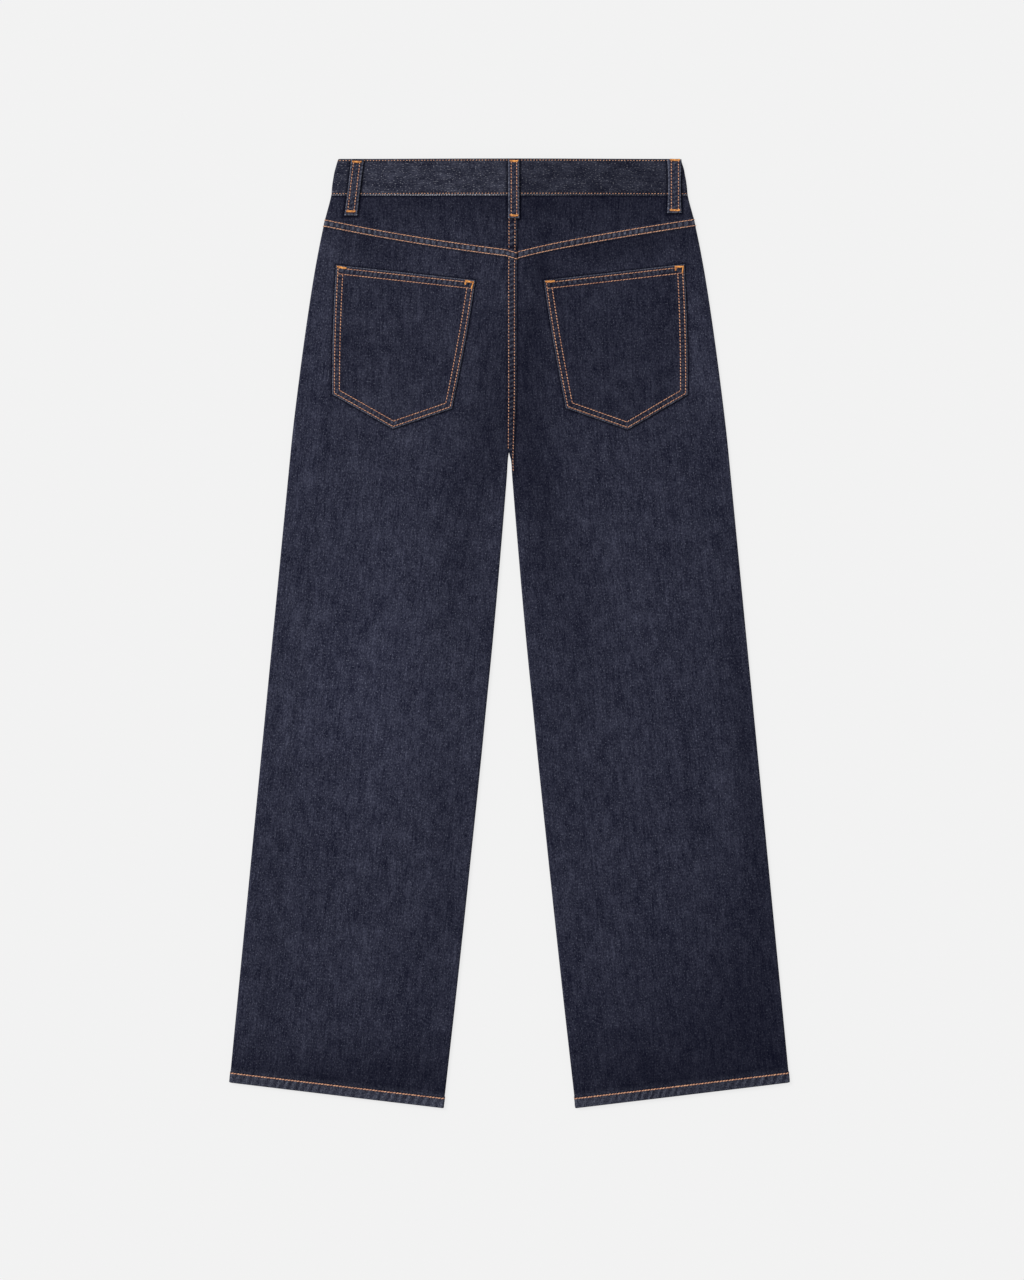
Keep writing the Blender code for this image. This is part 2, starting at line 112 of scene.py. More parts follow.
# Seams and their stitching
ROW_GAUGE = 0.0064         # distance between the two rows of a seam
SEAM_EDGE = 0.0013         # a folded edge to the row nearest to it
FELL_WIDTH = 0.0104        # a felled seam, from its folded edge to where it runs out
STITCH = 0.0033            # length of one stitch
POCKET_EDGE = 0.0024       # the same two sizes on the sides and base of a pocket
POCKET_GAUGE = 0.0054

FELL_CLEAR = 0.0014        # the painted shadow beside a felled seam falls as if this far from it
LOOP_CLOSE = 0.0007        # and beside a belt loop as if this much nearer
FAR = 0.05                 # stands for any distance too long to matter

# Mesh steps
COARSE = 4                 # the hidden side takes every fourth line of the side that shows


class EdgeRow(NamedTuple):
    """Half width of the garment at one drop below the waist edge."""

    drop: float
    half_width: float


OUTSEAM = (
    EdgeRow(0.0000, 0.1870),
    EdgeRow(0.0100, 0.1897),
    EdgeRow(0.0200, 0.1918),
    EdgeRow(0.0300, 0.1933),
    EdgeRow(0.0390, 0.1944),
    EdgeRow(0.0665, 0.2014),
    EdgeRow(0.1100, 0.2103),
    EdgeRow(0.1540, 0.2176),
    EdgeRow(0.2410, 0.2297),
    EdgeRow(0.3172, 0.2386),
    EdgeRow(LENGTH, 0.308156),
)
INSEAM = (
    EdgeRow(0.0000, SEAM_GAP / 2),
    EdgeRow(CROTCH_DROP, SEAM_GAP / 2),
    EdgeRow(0.3195, 0.0006),
    EdgeRow(0.3226, 0.0012),
    EdgeRow(0.3450, 0.0028),
    EdgeRow(0.3717, 0.0049),
    EdgeRow(0.4262, 0.0094),
    EdgeRow(0.4807, 0.0141),
    EdgeRow(0.5400, 0.0196),
    EdgeRow(0.6000, 0.0256),
    EdgeRow(0.6500, 0.0305),
    EdgeRow(0.7500, 0.0409),
    EdgeRow(0.8500, 0.0515),
    EdgeRow(0.9500, 0.0625),
    EdgeRow(LENGTH, 0.0721),
)

# Rows across a leg slant: the drop at the inner edge, and that at the outseam edge
ROW_ENDS = (
    (0.1500, 0.1300),
    (0.2000, 0.1840),
    (0.2500, 0.2370),
    (0.2950, 0.2840),
    (CROTCH_DROP, 0.3095),
    (0.3375, 0.3265),
    (0.3717, 0.3580),
    (0.4262, 0.4100),
    (0.4807, 0.4620),
    (LENGTH, 1.0066),
)
# Below the crotch the inner edge rolls under: the drop, and the share of a half turn made there
INNER_ROLL = ((CROTCH_DROP, 0.0), (0.3230, 0.25), (0.3270, 0.50), (0.3315, 0.75), (0.3375, 1.0))


class Half(Enum):
    """The wearer's left and right half, and the sign of x there."""

    LEFT = -1.0
    RIGHT = 1.0

    @property
    def label(self) -> str:
        """The half's name in a piece's name."""
        return self.name.lower()


class YokeSeam(NamedTuple):
    """Lower edge of a yoke: its drops at the centre back and at the outseam, its bow, how much it
    dips beside the centre back, and how far that dip reaches as a share of its width."""

    inner: float
    outer: float
    bow: float
    dip: float
    dip_reach: float = 0.125

    def bend(self, share: Array) -> Array:
        """How far the edge hangs below a straight line: a parabola, and a dip at its inner end
        that fades as a bell."""
        return self.bow * 4.0 * share * (1.0 - share) + self.dip * bell(share, self.dip_reach)


YOKE_SEAMS = {
    Half.LEFT: YokeSeam(0.1071, 0.0741, 0.0023, 0.0),
    Half.RIGHT: YokeSeam(0.1097, 0.0737, -0.0015, 0.0013),
}


class Mark(NamedTuple):
    """A soft oval mark on the cloth. Angle is in degrees from +X towards +Y, along its length."""

    x: float
    drop: float
    length: float
    width: float
    angle: float
    amount: float


# Soft ridges and troughs of the back, in metres of height
FOLDS = (
    Mark(-0.236, 0.560, 0.240, 0.006, 84.0, 0.00050),
    Mark(-0.222, 0.560, 0.250, 0.006, 84.0, -0.00045),
    Mark(-0.205, 0.230, 0.120, 0.016, 82.0, 0.00060),
    Mark(0.024, 0.200, 0.110, 0.011, 86.0, -0.00090),
    Mark(0.040, 0.190, 0.100, 0.010, 80.0, 0.00040),
    Mark(-0.040, 0.290, 0.070, 0.014, 62.0, -0.00080),
    Mark(-0.066, 0.300, 0.070, 0.014, 62.0, 0.00040),
    Mark(0.036, 0.330, 0.075, 0.014, 112.0, -0.00090),
    Mark(0.064, 0.330, 0.080, 0.016, 112.0, 0.00045),
    Mark(0.060, 0.570, 0.050, 0.007, 142.0, 0.00060),
    Mark(0.068, 0.590, 0.050, 0.007, 142.0, -0.00060),
    Mark(0.090, 0.605, 0.040, 0.022, 10.0, -0.00045),
    Mark(-0.185, 0.662, 0.045, 0.010, 6.0, -0.00050),
    Mark(-0.180, 0.640, 0.050, 0.012, 8.0, 0.00035),
    Mark(-0.110, 0.470, 0.090, 0.030, 100.0, 0.00040),
    Mark(0.150, 0.450, 0.110, 0.034, 80.0, 0.00040),
    Mark(0.218, 0.760, 0.150, 0.012, 96.0, -0.00045),
    Mark(0.196, 0.770, 0.150, 0.014, 96.0, 0.00035),
    Mark(-0.120, 0.860, 0.120, 0.022, 78.0, -0.00040),
    Mark(0.130, 0.880, 0.110, 0.024, 104.0, 0.00035),
    Mark(-0.210, 0.930, 0.080, 0.012, 84.0, 0.00040),
    Mark(0.110, 0.087, 0.045, 0.009, 10.0, 0.00035),
    Mark(-0.105, 0.076, 0.050, 0.008, 172.0, -0.00030),
)
# Where the cloth is deeper or paler, as a share of its brightness: partly dye, partly painted shade and light
DYE_AND_SHADING_MARKS = (
    Mark(0.105, 0.050, 0.160, 0.034, 0.0, -0.33),
    Mark(-0.110, 0.044, 0.150, 0.030, 0.0, -0.36),
    Mark(0.030, 0.180, 0.100, 0.018, 86.0, -0.34),
    Mark(0.120, 0.098, 0.080, 0.018, 12.0, -0.32),
    Mark(0.200, 0.100, 0.030, 0.030, 0.0, -0.10),
    Mark(-0.010, 0.230, 0.110, 0.040, 90.0, -0.22),
    Mark(-0.036, 0.330, 0.080, 0.030, 76.0, -0.24),
    Mark(0.030, 0.350, 0.090, 0.026, 100.0, -0.34),
    Mark(-0.212, 0.260, 0.130, 0.022, 82.0, 0.10),
    Mark(-0.150, 0.560, 0.160, 0.080, 90.0, 0.16),
    Mark(-0.190, 0.620, 0.120, 0.060, 85.0, 0.06),
    Mark(-0.056, 0.450, 0.080, 0.026, 80.0, -0.14),
    Mark(-0.070, 0.800, 0.200, 0.034, 84.0, -0.16),
    Mark(-0.262, 0.880, 0.120, 0.016, 84.0, -0.14),
    Mark(0.215, 0.230, 0.100, 0.018, 98.0, 0.14),
    Mark(0.130, 0.470, 0.140, 0.060, 90.0, 0.06),
    Mark(0.258, 0.660, 0.200, 0.018, 96.0, -0.30),
    Mark(0.262, 0.930, 0.130, 0.060, 96.0, -0.36),
    Mark(0.160, 0.985, 0.090, 0.080, 90.0, -0.24),
    Mark(0.086, 0.605, 0.034, 0.016, 10.0, -0.10),
    Mark(-0.190, 0.664, 0.040, 0.007, 6.0, -0.16),
    Mark(-0.170, 1.000, 0.160, 0.036, 4.0, -0.26),
    Mark(0.060, 0.500, 0.160, 0.040, 96.0, -0.08),
    Mark(-0.148, 0.098, 0.038, 0.024, 0.0, -0.20),
    Mark(0.033, 0.118, 0.016, 0.006, 114.0, -0.30),
    Mark(-0.050, 0.118, 0.012, 0.006, 80.0, -0.22),
    Mark(-0.159, 0.090, 0.014, 0.006, 84.0, -0.24),
    Mark(-0.176, 0.086, 0.010, 0.005, 100.0, -0.18),
    Mark(-0.120, 0.100, 0.014, 0.008, 80.0, -0.16),
    Mark(0.150, 0.104, 0.014, 0.007, 96.0, -0.18),
)
# Darker pockets, partly dye; the right one deeper still, as painted shade away from the light.
POCKET_DYE_AND_SHADING = {Half.LEFT: -0.11, Half.RIGHT: -0.23}


class Corner(NamedTuple):
    """A corner of a pocket."""

    x: float
    drop: float


class PocketCut(NamedTuple):
    """Corners of a back pocket on the body, x counted outwards from the centre back."""

    top_in: Corner
    top_out: Corner
    base_in: Corner
    tip: Corner
    base_out: Corner


POCKETS = {
    Half.LEFT: PocketCut(
        top_in=Corner(0.0376, 0.1322),
        top_out=Corner(0.1892, 0.1155),
        base_in=Corner(0.0625, 0.2720),
        tip=Corner(0.1272, 0.2942),
        base_out=Corner(0.1929, 0.2566),
    ),
    Half.RIGHT: PocketCut(
        top_in=Corner(0.0377, 0.1322),
        top_out=Corner(0.1909, 0.1146),
        base_in=Corner(0.0614, 0.2716),
        tip=Corner(0.1288, 0.2952),
        base_out=Corner(0.1939, 0.2569),
    ),
}


class BackLoop(NamedTuple):
    """A belt loop on the back."""

    name: str
    x_top: float         # middle of its top
    x_foot: float
    drop_foot: float
    width: float         # midway down
    flare: float         # how much wider it is at its ends
    gauge: float         # distance between its two rows of stitches
    rows_aside: float    # how far they lie to one side
    tacks: tuple[float, float]

    def middle(self, drop: Array) -> Array:
        """The x of the loop's middle at a drop: a straight line from its top to its foot."""
        return self.x_top + (self.x_foot - self.x_top) * drop / self.drop_foot

    def half_width(self, drop: Array) -> Array:
        """Half width at a drop: that midway, plus the square of the way from there times its flare."""
        from_middle = 2.0 * np.clip(drop / self.drop_foot, 0.0, 1.0) - 1.0
        return self.width / 2 + self.flare / 2 * from_middle**2


BACK_LOOPS = (
    BackLoop("belt_loop_back", 0.0046, 0.0046, 0.0650, 0.0122, 0.0003, 0.0059, 0.0003, (0.0027, 0.0619)),
    BackLoop(
        "belt_loop_side_left", -0.1655, -0.1729, 0.0616, 0.0134, 0.0008, 0.0068, -0.0005, (0.0032, 0.0572)
    ),
    BackLoop(
        "belt_loop_side_right", 0.1797, 0.1797, 0.0588, 0.0138, 0.0020, 0.0077, 0.0005, (0.0012, 0.0559)
    ),
)


# ------------------------------------------------------------------ curves and heights


def fade(value: Array, start: float, end: float) -> Array:
    """Fall smoothly from 1 at start to 0 at end: 1 - 3s^2 + 2s^3 of the share s between them."""
    share = np.clip((np.asarray(value, dtype=float) - start) / (end - start), 0.0, 1.0)
    return 1.0 - share * share * (3.0 - 2.0 * share)


def bell(distance: Array, width: float) -> Array:
    """1 where a distance is zero, falling off as exp(-(distance/width)^2)."""
    return np.exp(-((distance / width) ** 2))


def hump(value: Array, start: float, span: float) -> Array:
    """Half a sine over a span from start on, and 0 outside it."""
    return np.sin(math.pi * np.clip((value - start) / span, 0.0, 1.0))


def rounded(from_edge: Array, radius: float) -> Array:
    """Height of a folded edge: a quarter circle from 0 at the edge to 1 at a radius inside it."""
    return np.sqrt(np.clip(1.0 - (1.0 - np.clip(from_edge / radius, 0.0, 1.0)) ** 2, 0.0, 1.0))


def edge(rows: Sequence[EdgeRow], drop: Array) -> Array:
    """Half width at a drop, by a cubic through the rows that is straight in its end stretches.

    Args:
        rows: The outline's rows, from the waist down.
        drop: Drops below the waist edge.

    Returns:
        The half width at each drop: a Hermite cubic whose slope at a row is the mean of the two
        chords that meet there.
    """
    drops = np.array([row.drop for row in rows])
    widths = np.array([row.half_width for row in rows])
    chords = np.diff(widths) / np.diff(drops)
    slopes = np.concatenate(([chords[0]], (chords[:-1] + chords[1:]) / 2, [chords[-1]]))
    slopes[1] = chords[0]
    slopes[-2] = chords[-1]
    value = np.clip(np.asarray(drop, dtype=float), drops[0], drops[-1])
    index = np.clip(np.searchsorted(drops, value, side="right") - 1, 0, len(rows) - 2)
    span = drops[index + 1] - drops[index]
    share = (value - drops[index]) / span
    rest = 1.0 - share
    return (
        widths[index] * (1.0 + 2.0 * share) * rest**2
        + widths[index + 1] * (3.0 - 2.0 * share) * share**2
        + span * share * rest * (slopes[index] * rest - slopes[index + 1] * share)
    )


def marks_at(marks: Sequence[Mark], x: Array, drop: Array) -> Array:
    """Sum of soft oval marks.

    Args:
        marks: The marks.
        x: Places across the garment.
        drop: Drops below the waist edge.

    Returns:
        At each place, the sum of each mark's amount times exp(-(along/length)^2 - (across/width)^2).
    """
    x, drop = np.broadcast_arrays(x, drop)
    total = np.zeros(x.shape)
    for mark in marks:
        turn = math.radians(mark.angle)
        right = x - mark.x
        up = mark.drop - drop
        along = right * math.cos(turn) + up * math.sin(turn)
        across = up * math.cos(turn) - right * math.sin(turn)
        total += mark.amount * np.exp(-(along / mark.length) ** 2 - (across / mark.width) ** 2)
    return total


def uneven_wave(along: Array, pitch: float, start: float = 0.0) -> Array:
    """A wave from -1 to 1 whose pitch wanders: sin of the distance plus two slow sines of it."""
    slow, quick = np.sin(along / (3.9 * pitch) + start), np.sin(along / (1.7 * pitch) + 2.1 * start)
    return np.sin(2.0 * math.pi * along / pitch + (1.5 * slow + 0.9 * quick) + start)


def front_height(x: Array, drop: Array) -> Array:
    """Height of the outer face of the front panels: a clearance, and the lift near the waist."""
    return FRONT_CLEAR + (FRONT_LIFT - FRONT_CLEAR) * fade(np.abs(x), *LIFT_ACROSS) * fade(drop, *LIFT_DOWN)


def cloth_swell(x: Array, drop: Array) -> Array:
    """Slow uneven swell of cloth that was smoothed by hand: three long sines, 0.3 mm in all."""
    return 0.00012 * (
        np.sin(x / 0.031 + drop / 0.090 + 0.8)
        + np.sin(drop / 0.047 - x / 0.066 + 2.3)
        + np.sin((x + drop) / 0.023 + 1.1)
    )


def back_height(x: Array, drop: Array) -> Array:
    """Height of the outer face of the back panels.

    It is the height of the rolled edges, a crown between them, the rise over the waist layers,
    the dip towards the crotch, and the soft folds and swell of the cloth.

    Args:
        x: Places across the garment.
        drop: Drops below the waist edge.

    Returns:
        Heights over the surface.
    """
    reach = np.abs(x)
    inner = edge(INSEAM, drop)
    outer = edge(OUTSEAM, drop)
    across = np.clip((reach - inner) / (outer - inner), 0.0, 1.0)
    rise = WAIST_RISE * fade(reach, *RISE_ACROSS) * fade(drop, *RISE_DOWN)
    deepening = 1.0 - fade(drop, DIP_DOWN[0], DIP_DOWN[1])
    dip = CROTCH_DIP * fade(reach - inner, 0.0, DIP_REACH) * deepening * fade(drop, *DIP_DOWN[2:])
    soft = marks_at(FOLDS, x, drop) + cloth_swell(x, drop)
    return EDGE_HEIGHT + rise + CROWN * np.sin(math.pi * across) - dip + soft


def band_back_height(x: Array) -> Array:
    """Height of the outer face of the back half of the waistband."""
    return EDGE_HEIGHT + BAND_RISE * fade(np.abs(x), *RISE_ACROSS)


def dye_and_painted_shading(x: Array, drop: Array) -> Array:
    """How much paler or deeper the cloth is: the soft marks, partly dye and partly painted shade and
    light, a painted darkening down the legs, and a painted deeper right half, away from the light.

    Args:
        x: Places across the garment.
        drop: Drops below the waist edge.

    Returns:
        Shade at each place, where 0 is the plain dye.
    """
    # Painted shade: darker towards the hems and on the right half, as the light falls off from the upper
    # left.
    down = -0.08 * (1.0 - fade(drop, 0.62, 1.00)) - 0.20 * (1.0 - fade(drop, 0.93, 1.01))
    side = -0.10 * (1.0 - fade(x, -0.02, 0.05))
    return np.clip(marks_at(DYE_AND_SHADING_MARKS, x, drop) + down + side, -0.62, 0.3)


# ------------------------------------------------------------------ finishes


class Graph:
    """Wires one tree of shader nodes."""

    def __init__(self, tree: bpy.types.NodeTree) -> None:
        """Start from a tree, which may already hold nodes."""
        self.tree = tree

    def put(self, socket: Socket, value: object) -> None:
        """Link a value that is a socket, and set any other."""
        if isinstance(value, Socket):
            self.tree.links.new(value, socket)
        else:
            socket.default_value = value

    def fill(self, node: bpy.types.Node, inputs: dict) -> None:
        """Put values or sockets into a node's inputs, by their name or number."""
        for key, value in inputs.items():
            self.put(node.inputs[key], value)

    def node(self, kind: str, inputs: dict | None = None, **settings: object) -> bpy.types.Node:
        """Add a node.

        Args:
            kind: Blender's name of the node, after ShaderNode.
            inputs: Values or sockets by the input's name or number.
            **settings: The node's own settings.

        Returns:
            The node.
        """
        made = self.tree.nodes.new(f"ShaderNode{kind}")
        for name, value in settings.items():
            setattr(made, name, value)
        self.fill(made, inputs or {})
        return made

    def math(self, operation: str, *values: object) -> Socket:
        """The result of a sum, product or other function of numbers."""
        return self.node("Math", dict(enumerate(values)), operation=operation).outputs[0]

    def times(self, first: object, second: object) -> Socket:
        """A product."""
        return self.math("MULTIPLY", first, second)

    def line(self, value: object, slope: object, start: object) -> Socket:
        """A value times a slope, plus a start."""
        return self.math("MULTIPLY_ADD", value, slope, start)

    def vector(self, operation: str, inputs: dict) -> Socket:
        """The result of a function of vectors or colours."""
        return self.node("VectorMath", inputs, operation=operation).outputs[0]

    def limited(self, value: Socket) -> Socket:
        """A value kept between 0 and 1."""
        return self.node("Clamp", {0: value}).outputs[0]

    def cloth(self) -> Socket:
        """The place on the flat cloth."""
        return self.node("UVMap", uv_map="cloth").outputs[0]

    def attribute(self, name: str) -> Socket:
        """A value of the piece's points."""
        return self.node("Attribute", attribute_name=name).outputs["Fac"]

    def noise(self, vector: Socket, detail: float, planar: bool = True) -> Socket:
        """Noise about zero, whose cells are as large as one step of the vector.

        Args:
            vector: Where to read it.
            detail: How many finer layers it has.
            planar: Whether it varies in a plane only.

        Returns:
            Its value.
        """
        inputs = {"Vector": vector, "Scale": 1.0, "Detail": detail, "Roughness": 0.6}
        made = self.node("TexNoise", inputs, noise_dimensions="2D" if planar else "3D")
        return self.math("SUBTRACT", made.outputs[0], 0.5)

    def cells(self, vector: Socket, x: float, y: float, detail: float = 1.0) -> Socket:
        """Noise about zero on the flat cloth, whose cells measure x by y metres."""
        steps = self.vector("MULTIPLY", {0: vector, 1: (1.0 / x, 1.0 / y, 0.0)})
        return self.noise(steps, detail)

    def patches(self, count: float, detail: float) -> Socket:
        """Noise about zero through the piece's own space, with so many cells a metre."""
        at = self.node("TexCoord").outputs["Object"]
        return self.noise(self.vector("MULTIPLY", {0: at, 1: (count,) * 3}), detail, planar=False)

    def near(self, value: object, width: float) -> Socket:
        """1 where a distance is zero, falling off as exp(-(distance/width)^2)."""
        steps = self.times(value, 1.0 / width)
        return self.math("EXPONENT", self.times(self.times(steps, steps), -1.0))

    def ramp(self, value: object, low: float, high: float) -> Socket:
        """Rise smoothly from 0 at low to 1 at high."""
        inputs = {"Value": value, "From Min": low, "From Max": high}
        return self.node("MapRange", inputs, interpolation_type="SMOOTHSTEP").outputs[0]

    def mix(self, share: object, first: object, second: object) -> Socket:
        """A colour between two."""
        return self.node("Mix", {0: share, 6: first, 7: second}, data_type="RGBA").outputs[2]

    def surface(
        self, shader: bpy.types.Node, colour: Socket, height: Socket, relief: tuple[float, float]
    ) -> None:
        """Give a shader its colour and a bump.

        Args:
            shader: The shader.
            colour: Its colour.
            height: The height that the bump follows.
            relief: Strength and depth of the bump.
        """
        strength, depth = relief
        bump = self.node("Bump", {"Strength": strength, "Distance": depth, "Height": height})
        self.fill(shader, {"Base Color": colour, "Normal": bump.outputs[0]})


WHITE = (1.0, 1.0, 1.0, 1.0)


def rgba(colour: Colour) -> tuple[float, float, float, float]:
    """A colour with full opacity."""
    return (*colour, 1.0)


def start_group(name: str, inputs: dict[str, object]) -> tuple[Graph, bpy.types.Node, bpy.types.Node]:
    """Begin a shader node group that puts out a Colour and a Height.

    Args:
        name: The group's name.
        inputs: Default of each input: a number, or a colour.

    Returns:
        Its graph, its input node and its output node.
    """
    tree = bpy.data.node_groups.new(name, "ShaderNodeTree")
    for title, value in inputs.items():
        kind = "NodeSocketColor" if isinstance(value, tuple) else "NodeSocketFloat"
        tree.interface.new_socket(title, in_out="INPUT", socket_type=kind).default_value = value
    tree.interface.new_socket("Colour", in_out="OUTPUT", socket_type="NodeSocketColor")
    tree.interface.new_socket("Height", in_out="OUTPUT", socket_type="NodeSocketFloat")
    return Graph(tree), tree.nodes.new("NodeGroupInput"), tree.nodes.new("NodeGroupOutput")


GRAIN_TURN = 0.40             # the grain leans by this angle, in radians
GRAIN_SCALE = (560.0, 400.0, 1.0)
TWILL_PITCH = 0.00055         # from one twill line to the next, across the cloth
TWILL_CLIMB = 5400.0          # how fast the lines climb along it
PALEST = 0.676                # share of the pale dye in cloth without any noise
CONTRAST = 2.4
FLECKS = (0.20, 0.36)         # noise at which the weft begins to show, and shows fully
GAP_SHADOW = (0.0019, -0.80)  # width and depth of the painted shadow beside a piece on the cloth
ROW_SHADOW = (0.0009, -0.45)  # and along a row of stitches
PLY_PITCH = 0.0009
THREAD_PATCHES = 330.0        # patches of thread a metre
# From a stitch's middle: where the painted shade of its ends begins, and where it is full
STITCH_END = (0.00050, 0.00125)


def denim_group() -> bpy.types.NodeTree:
    """The twill's colour and height, built once.

    The warp is dyed and the weft isn't, so pale grain shows between dark yarns. Thick and thin
    warp yarns make long streaks, and the weft makes short faint ones across them. Wear uncovers
    the undyed core, as worn dye and as painted highlight on folds and pucker crests. Shade deepens
    or lightens the cloth, as dye and as painted shade and light, and turns it towards the deep dye.
    Painted shadow darkens the rows of stitches and the cloth beside the edges of pieces that
    stand on it.

    Returns:
        The group.
    """
    name = "denim_twill"
    if name in bpy.data.node_groups:
        return bpy.data.node_groups[name]
    colours = {"Deep": (0.011, 0.012, 0.024, 1.0), "Pale": (0.045, 0.048, 0.075, 1.0)}
    colours["Undyed"] = (0.30, 0.31, 0.36, 1.0)
    graph, source, sink = start_group(name, colours | {"Grain": 1.0, "Slub": 1.0, "Haze": 1.0})
    given = source.outputs
    cloth = graph.cloth()
    lean = {"Vector": cloth, "Rotation": (0.0, 0.0, GRAIN_TURN), "Scale": GRAIN_SCALE}
    grain = graph.noise(graph.node("Mapping", lean).outputs[0], 2.0)
    streak = graph.cells(cloth, 0.0013, 0.0110)
    slub = graph.cells(cloth, 0.0024, 0.0420)
    weft = graph.cells(cloth, 0.0100, 0.0014)
    cloud = graph.cells(cloth, 0.0500, 0.0750, 2.0)
    patch = graph.cells(cloth, 0.0110, 0.0180)
    fine = graph.times(grain, given["Grain"])
    long = graph.times(graph.line(streak, 1.1, slub), given["Slub"])
    slow = graph.times(graph.line(cloud, 0.22, graph.times(patch, 0.34)), given["Haze"])
    yarn = graph.line(fine, 0.74, graph.times(long, 0.27))
    share = graph.math("ADD", graph.line(weft, 0.18, slow), yarn)
    share = graph.math("POWER", graph.limited(graph.math("ADD", share, PALEST)), CONTRAST)
    dyed = graph.mix(share, given["Deep"], given["Pale"])
    fleck = graph.ramp(graph.cells(cloth, 0.0011, 0.0019, 0.0), *FLECKS)
    dyed = graph.mix(graph.times(fleck, 0.20), dyed, given["Undyed"])
    fuzz = graph.cells(cloth, 0.0013, 0.0013, 0.0)
    rubbed = graph.math("ADD", graph.line(grain, 1.6, 0.85), graph.times(fuzz, 2.2))
    rubbed = graph.limited(graph.times(graph.attribute("wear"), rubbed))
    dyed = graph.mix(rubbed, dyed, given["Undyed"])
    # Painted shade and light from the shade mask, and painted shadow near pieces and rows of stitches
    shade = graph.math("ADD", graph.attribute("shade"), 1.0)
    beside = graph.math("MAXIMUM", graph.attribute("gap"), 0.0)
    for distance, (width, depth) in ((beside, GAP_SHADOW), (graph.attribute("row"), ROW_SHADOW)):
        shade = graph.times(shade, graph.line(graph.near(distance, width), depth, 1.0))
    shaded = graph.vector("SCALE", {0: dyed, "Scale": shade})
    lost = graph.line(graph.math("MINIMUM", shade, 1.0), -0.7, 0.7)
    deepest = graph.vector("SCALE", {0: given["Deep"], "Scale": lost})
    axes = graph.node("SeparateXYZ", {0: cloth}).outputs
    twill = graph.line(axes[0], 2.0 * math.pi / TWILL_PITCH, graph.times(axes[1], TWILL_CLIMB))
    ridge = graph.math("SINE", graph.line(grain, 5.0, twill))
    height = graph.line(ridge, 0.25, graph.times(yarn, 1.6))
    graph.fill(sink, {"Colour": graph.vector("ADD", {0: shaded, 1: deepest}), "Height": height})
    return graph.tree


def thread_group() -> bpy.types.NodeTree:
    """The colour and height of a twisted thread, built once.

    Plies slant along and round it, between a lit colour and a painted-shadow colour, and it takes
    painted shade where a stitch goes down into the cloth, which is further than about a millimetre
    from the stitch's middle.

    Returns:
        The group.
    """
    name = "twisted_thread"
    if name in bpy.data.node_groups:
        return bpy.data.node_groups[name]
    colours = {"Shadow": (0.20, 0.09, 0.035, 1.0), "Light": (0.62, 0.33, 0.13, 1.0)}
    graph, source, sink = start_group(name, colours | {"Sunk": (0.10, 0.03, 0.02, 1.0)})
    given = source.outputs
    axes = graph.node("SeparateXYZ", {0: graph.cloth()}).outputs
    plies = graph.line(axes[0], 2.0 * math.pi / PLY_PITCH, graph.times(axes[1], 2.0 * math.pi))
    ply = graph.line(graph.math("SINE", plies), 0.5, 0.5)
    share = graph.line(graph.patches(THREAD_PATCHES, 2.0), 2.2, graph.line(ply, 0.45, 0.36))
    twisted = graph.mix(graph.limited(share), given["Shadow"], given["Light"])
    sunk = graph.ramp(graph.math("ABSOLUTE", axes[0]), *STITCH_END)
    graph.fill(sink, {"Colour": graph.mix(sunk, twisted, given["Sunk"]), "Height": ply})
    return graph.tree


@dataclass(frozen=True)
class Finish:
    """A material that is made once."""

    name: str

    def material(self) -> bpy.types.Material:
        """The finish's material.

        Returns:
            The material, which is made at the first call.
        """
        if self.name in bpy.data.materials:
            return bpy.data.materials[self.name]
        made = bpy.data.materials.new(self.name)
        made.use_nodes = True
        self.dress(Graph(made.node_tree), made.node_tree.nodes["Principled BSDF"])
        return made

    def dress(self, graph: Graph, shader: bpy.types.Node) -> None:
        """Wire the material's nodes to its shader."""
        raise NotImplementedError(self.name)


@dataclass(frozen=True)
class DenimFinish(Finish):
    """A denim: its deep and pale dye, the undyed core, and how strong its grain and slubs are."""

    deep: Colour
    pale: Colour
    undyed: Colour = (0.30, 0.31, 0.36)
    grain: float = 1.0
    slub: float = 1.0
    haze: float = 1.0
    relief: tuple[float, float] = (0.45, 0.00012)

    def dress(self, graph: Graph, shader: bpy.types.Node) -> None:
        """Wire the twill to a rough shader with a little sheen.

        Args:
            graph: The material's nodes.
            shader: Its Principled shader.
        """
        weave = graph.node("Group", node_tree=denim_group())
        colours = {"Deep": rgba(self.deep), "Pale": rgba(self.pale), "Undyed": rgba(self.undyed)}
        graph.fill(weave, colours | {"Grain": self.grain, "Slub": self.slub, "Haze": self.haze})
        graph.surface(shader, weave.outputs["Colour"], weave.outputs["Height"], self.relief)
        graph.fill(shader, {"Roughness": 0.92, "Specular IOR Level": 0.04})
        graph.fill(shader, {"Sheen Weight": 0.015, "Sheen Roughness": 0.55})


@dataclass(frozen=True)
class ThreadFinish(Finish):
    """A stitching thread: its painted shadow between its plies, its lit colour on them, and its painted shade
    at the ends of its stitches.
    """

    shadow: Colour
    light: Colour
    sunk: Colour

    def dress(self, graph: Graph, shader: bpy.types.Node) -> None:
        """Wire the twisted thread to a smoother shader.

        Args:
            graph: The material's nodes.
            shader: Its Principled shader.
        """
        twist = graph.node("Group", node_tree=thread_group())
        colours = {"Shadow": rgba(self.shadow), "Light": rgba(self.light), "Sunk": rgba(self.sunk)}
        graph.fill(twist, colours)
        graph.surface(shader, twist.outputs["Colour"], twist.outputs["Height"], (0.4, 0.0001))
        graph.fill(shader, {"Roughness": 0.62, "Specular IOR Level": 0.3, "Sheen Weight": 0.15})


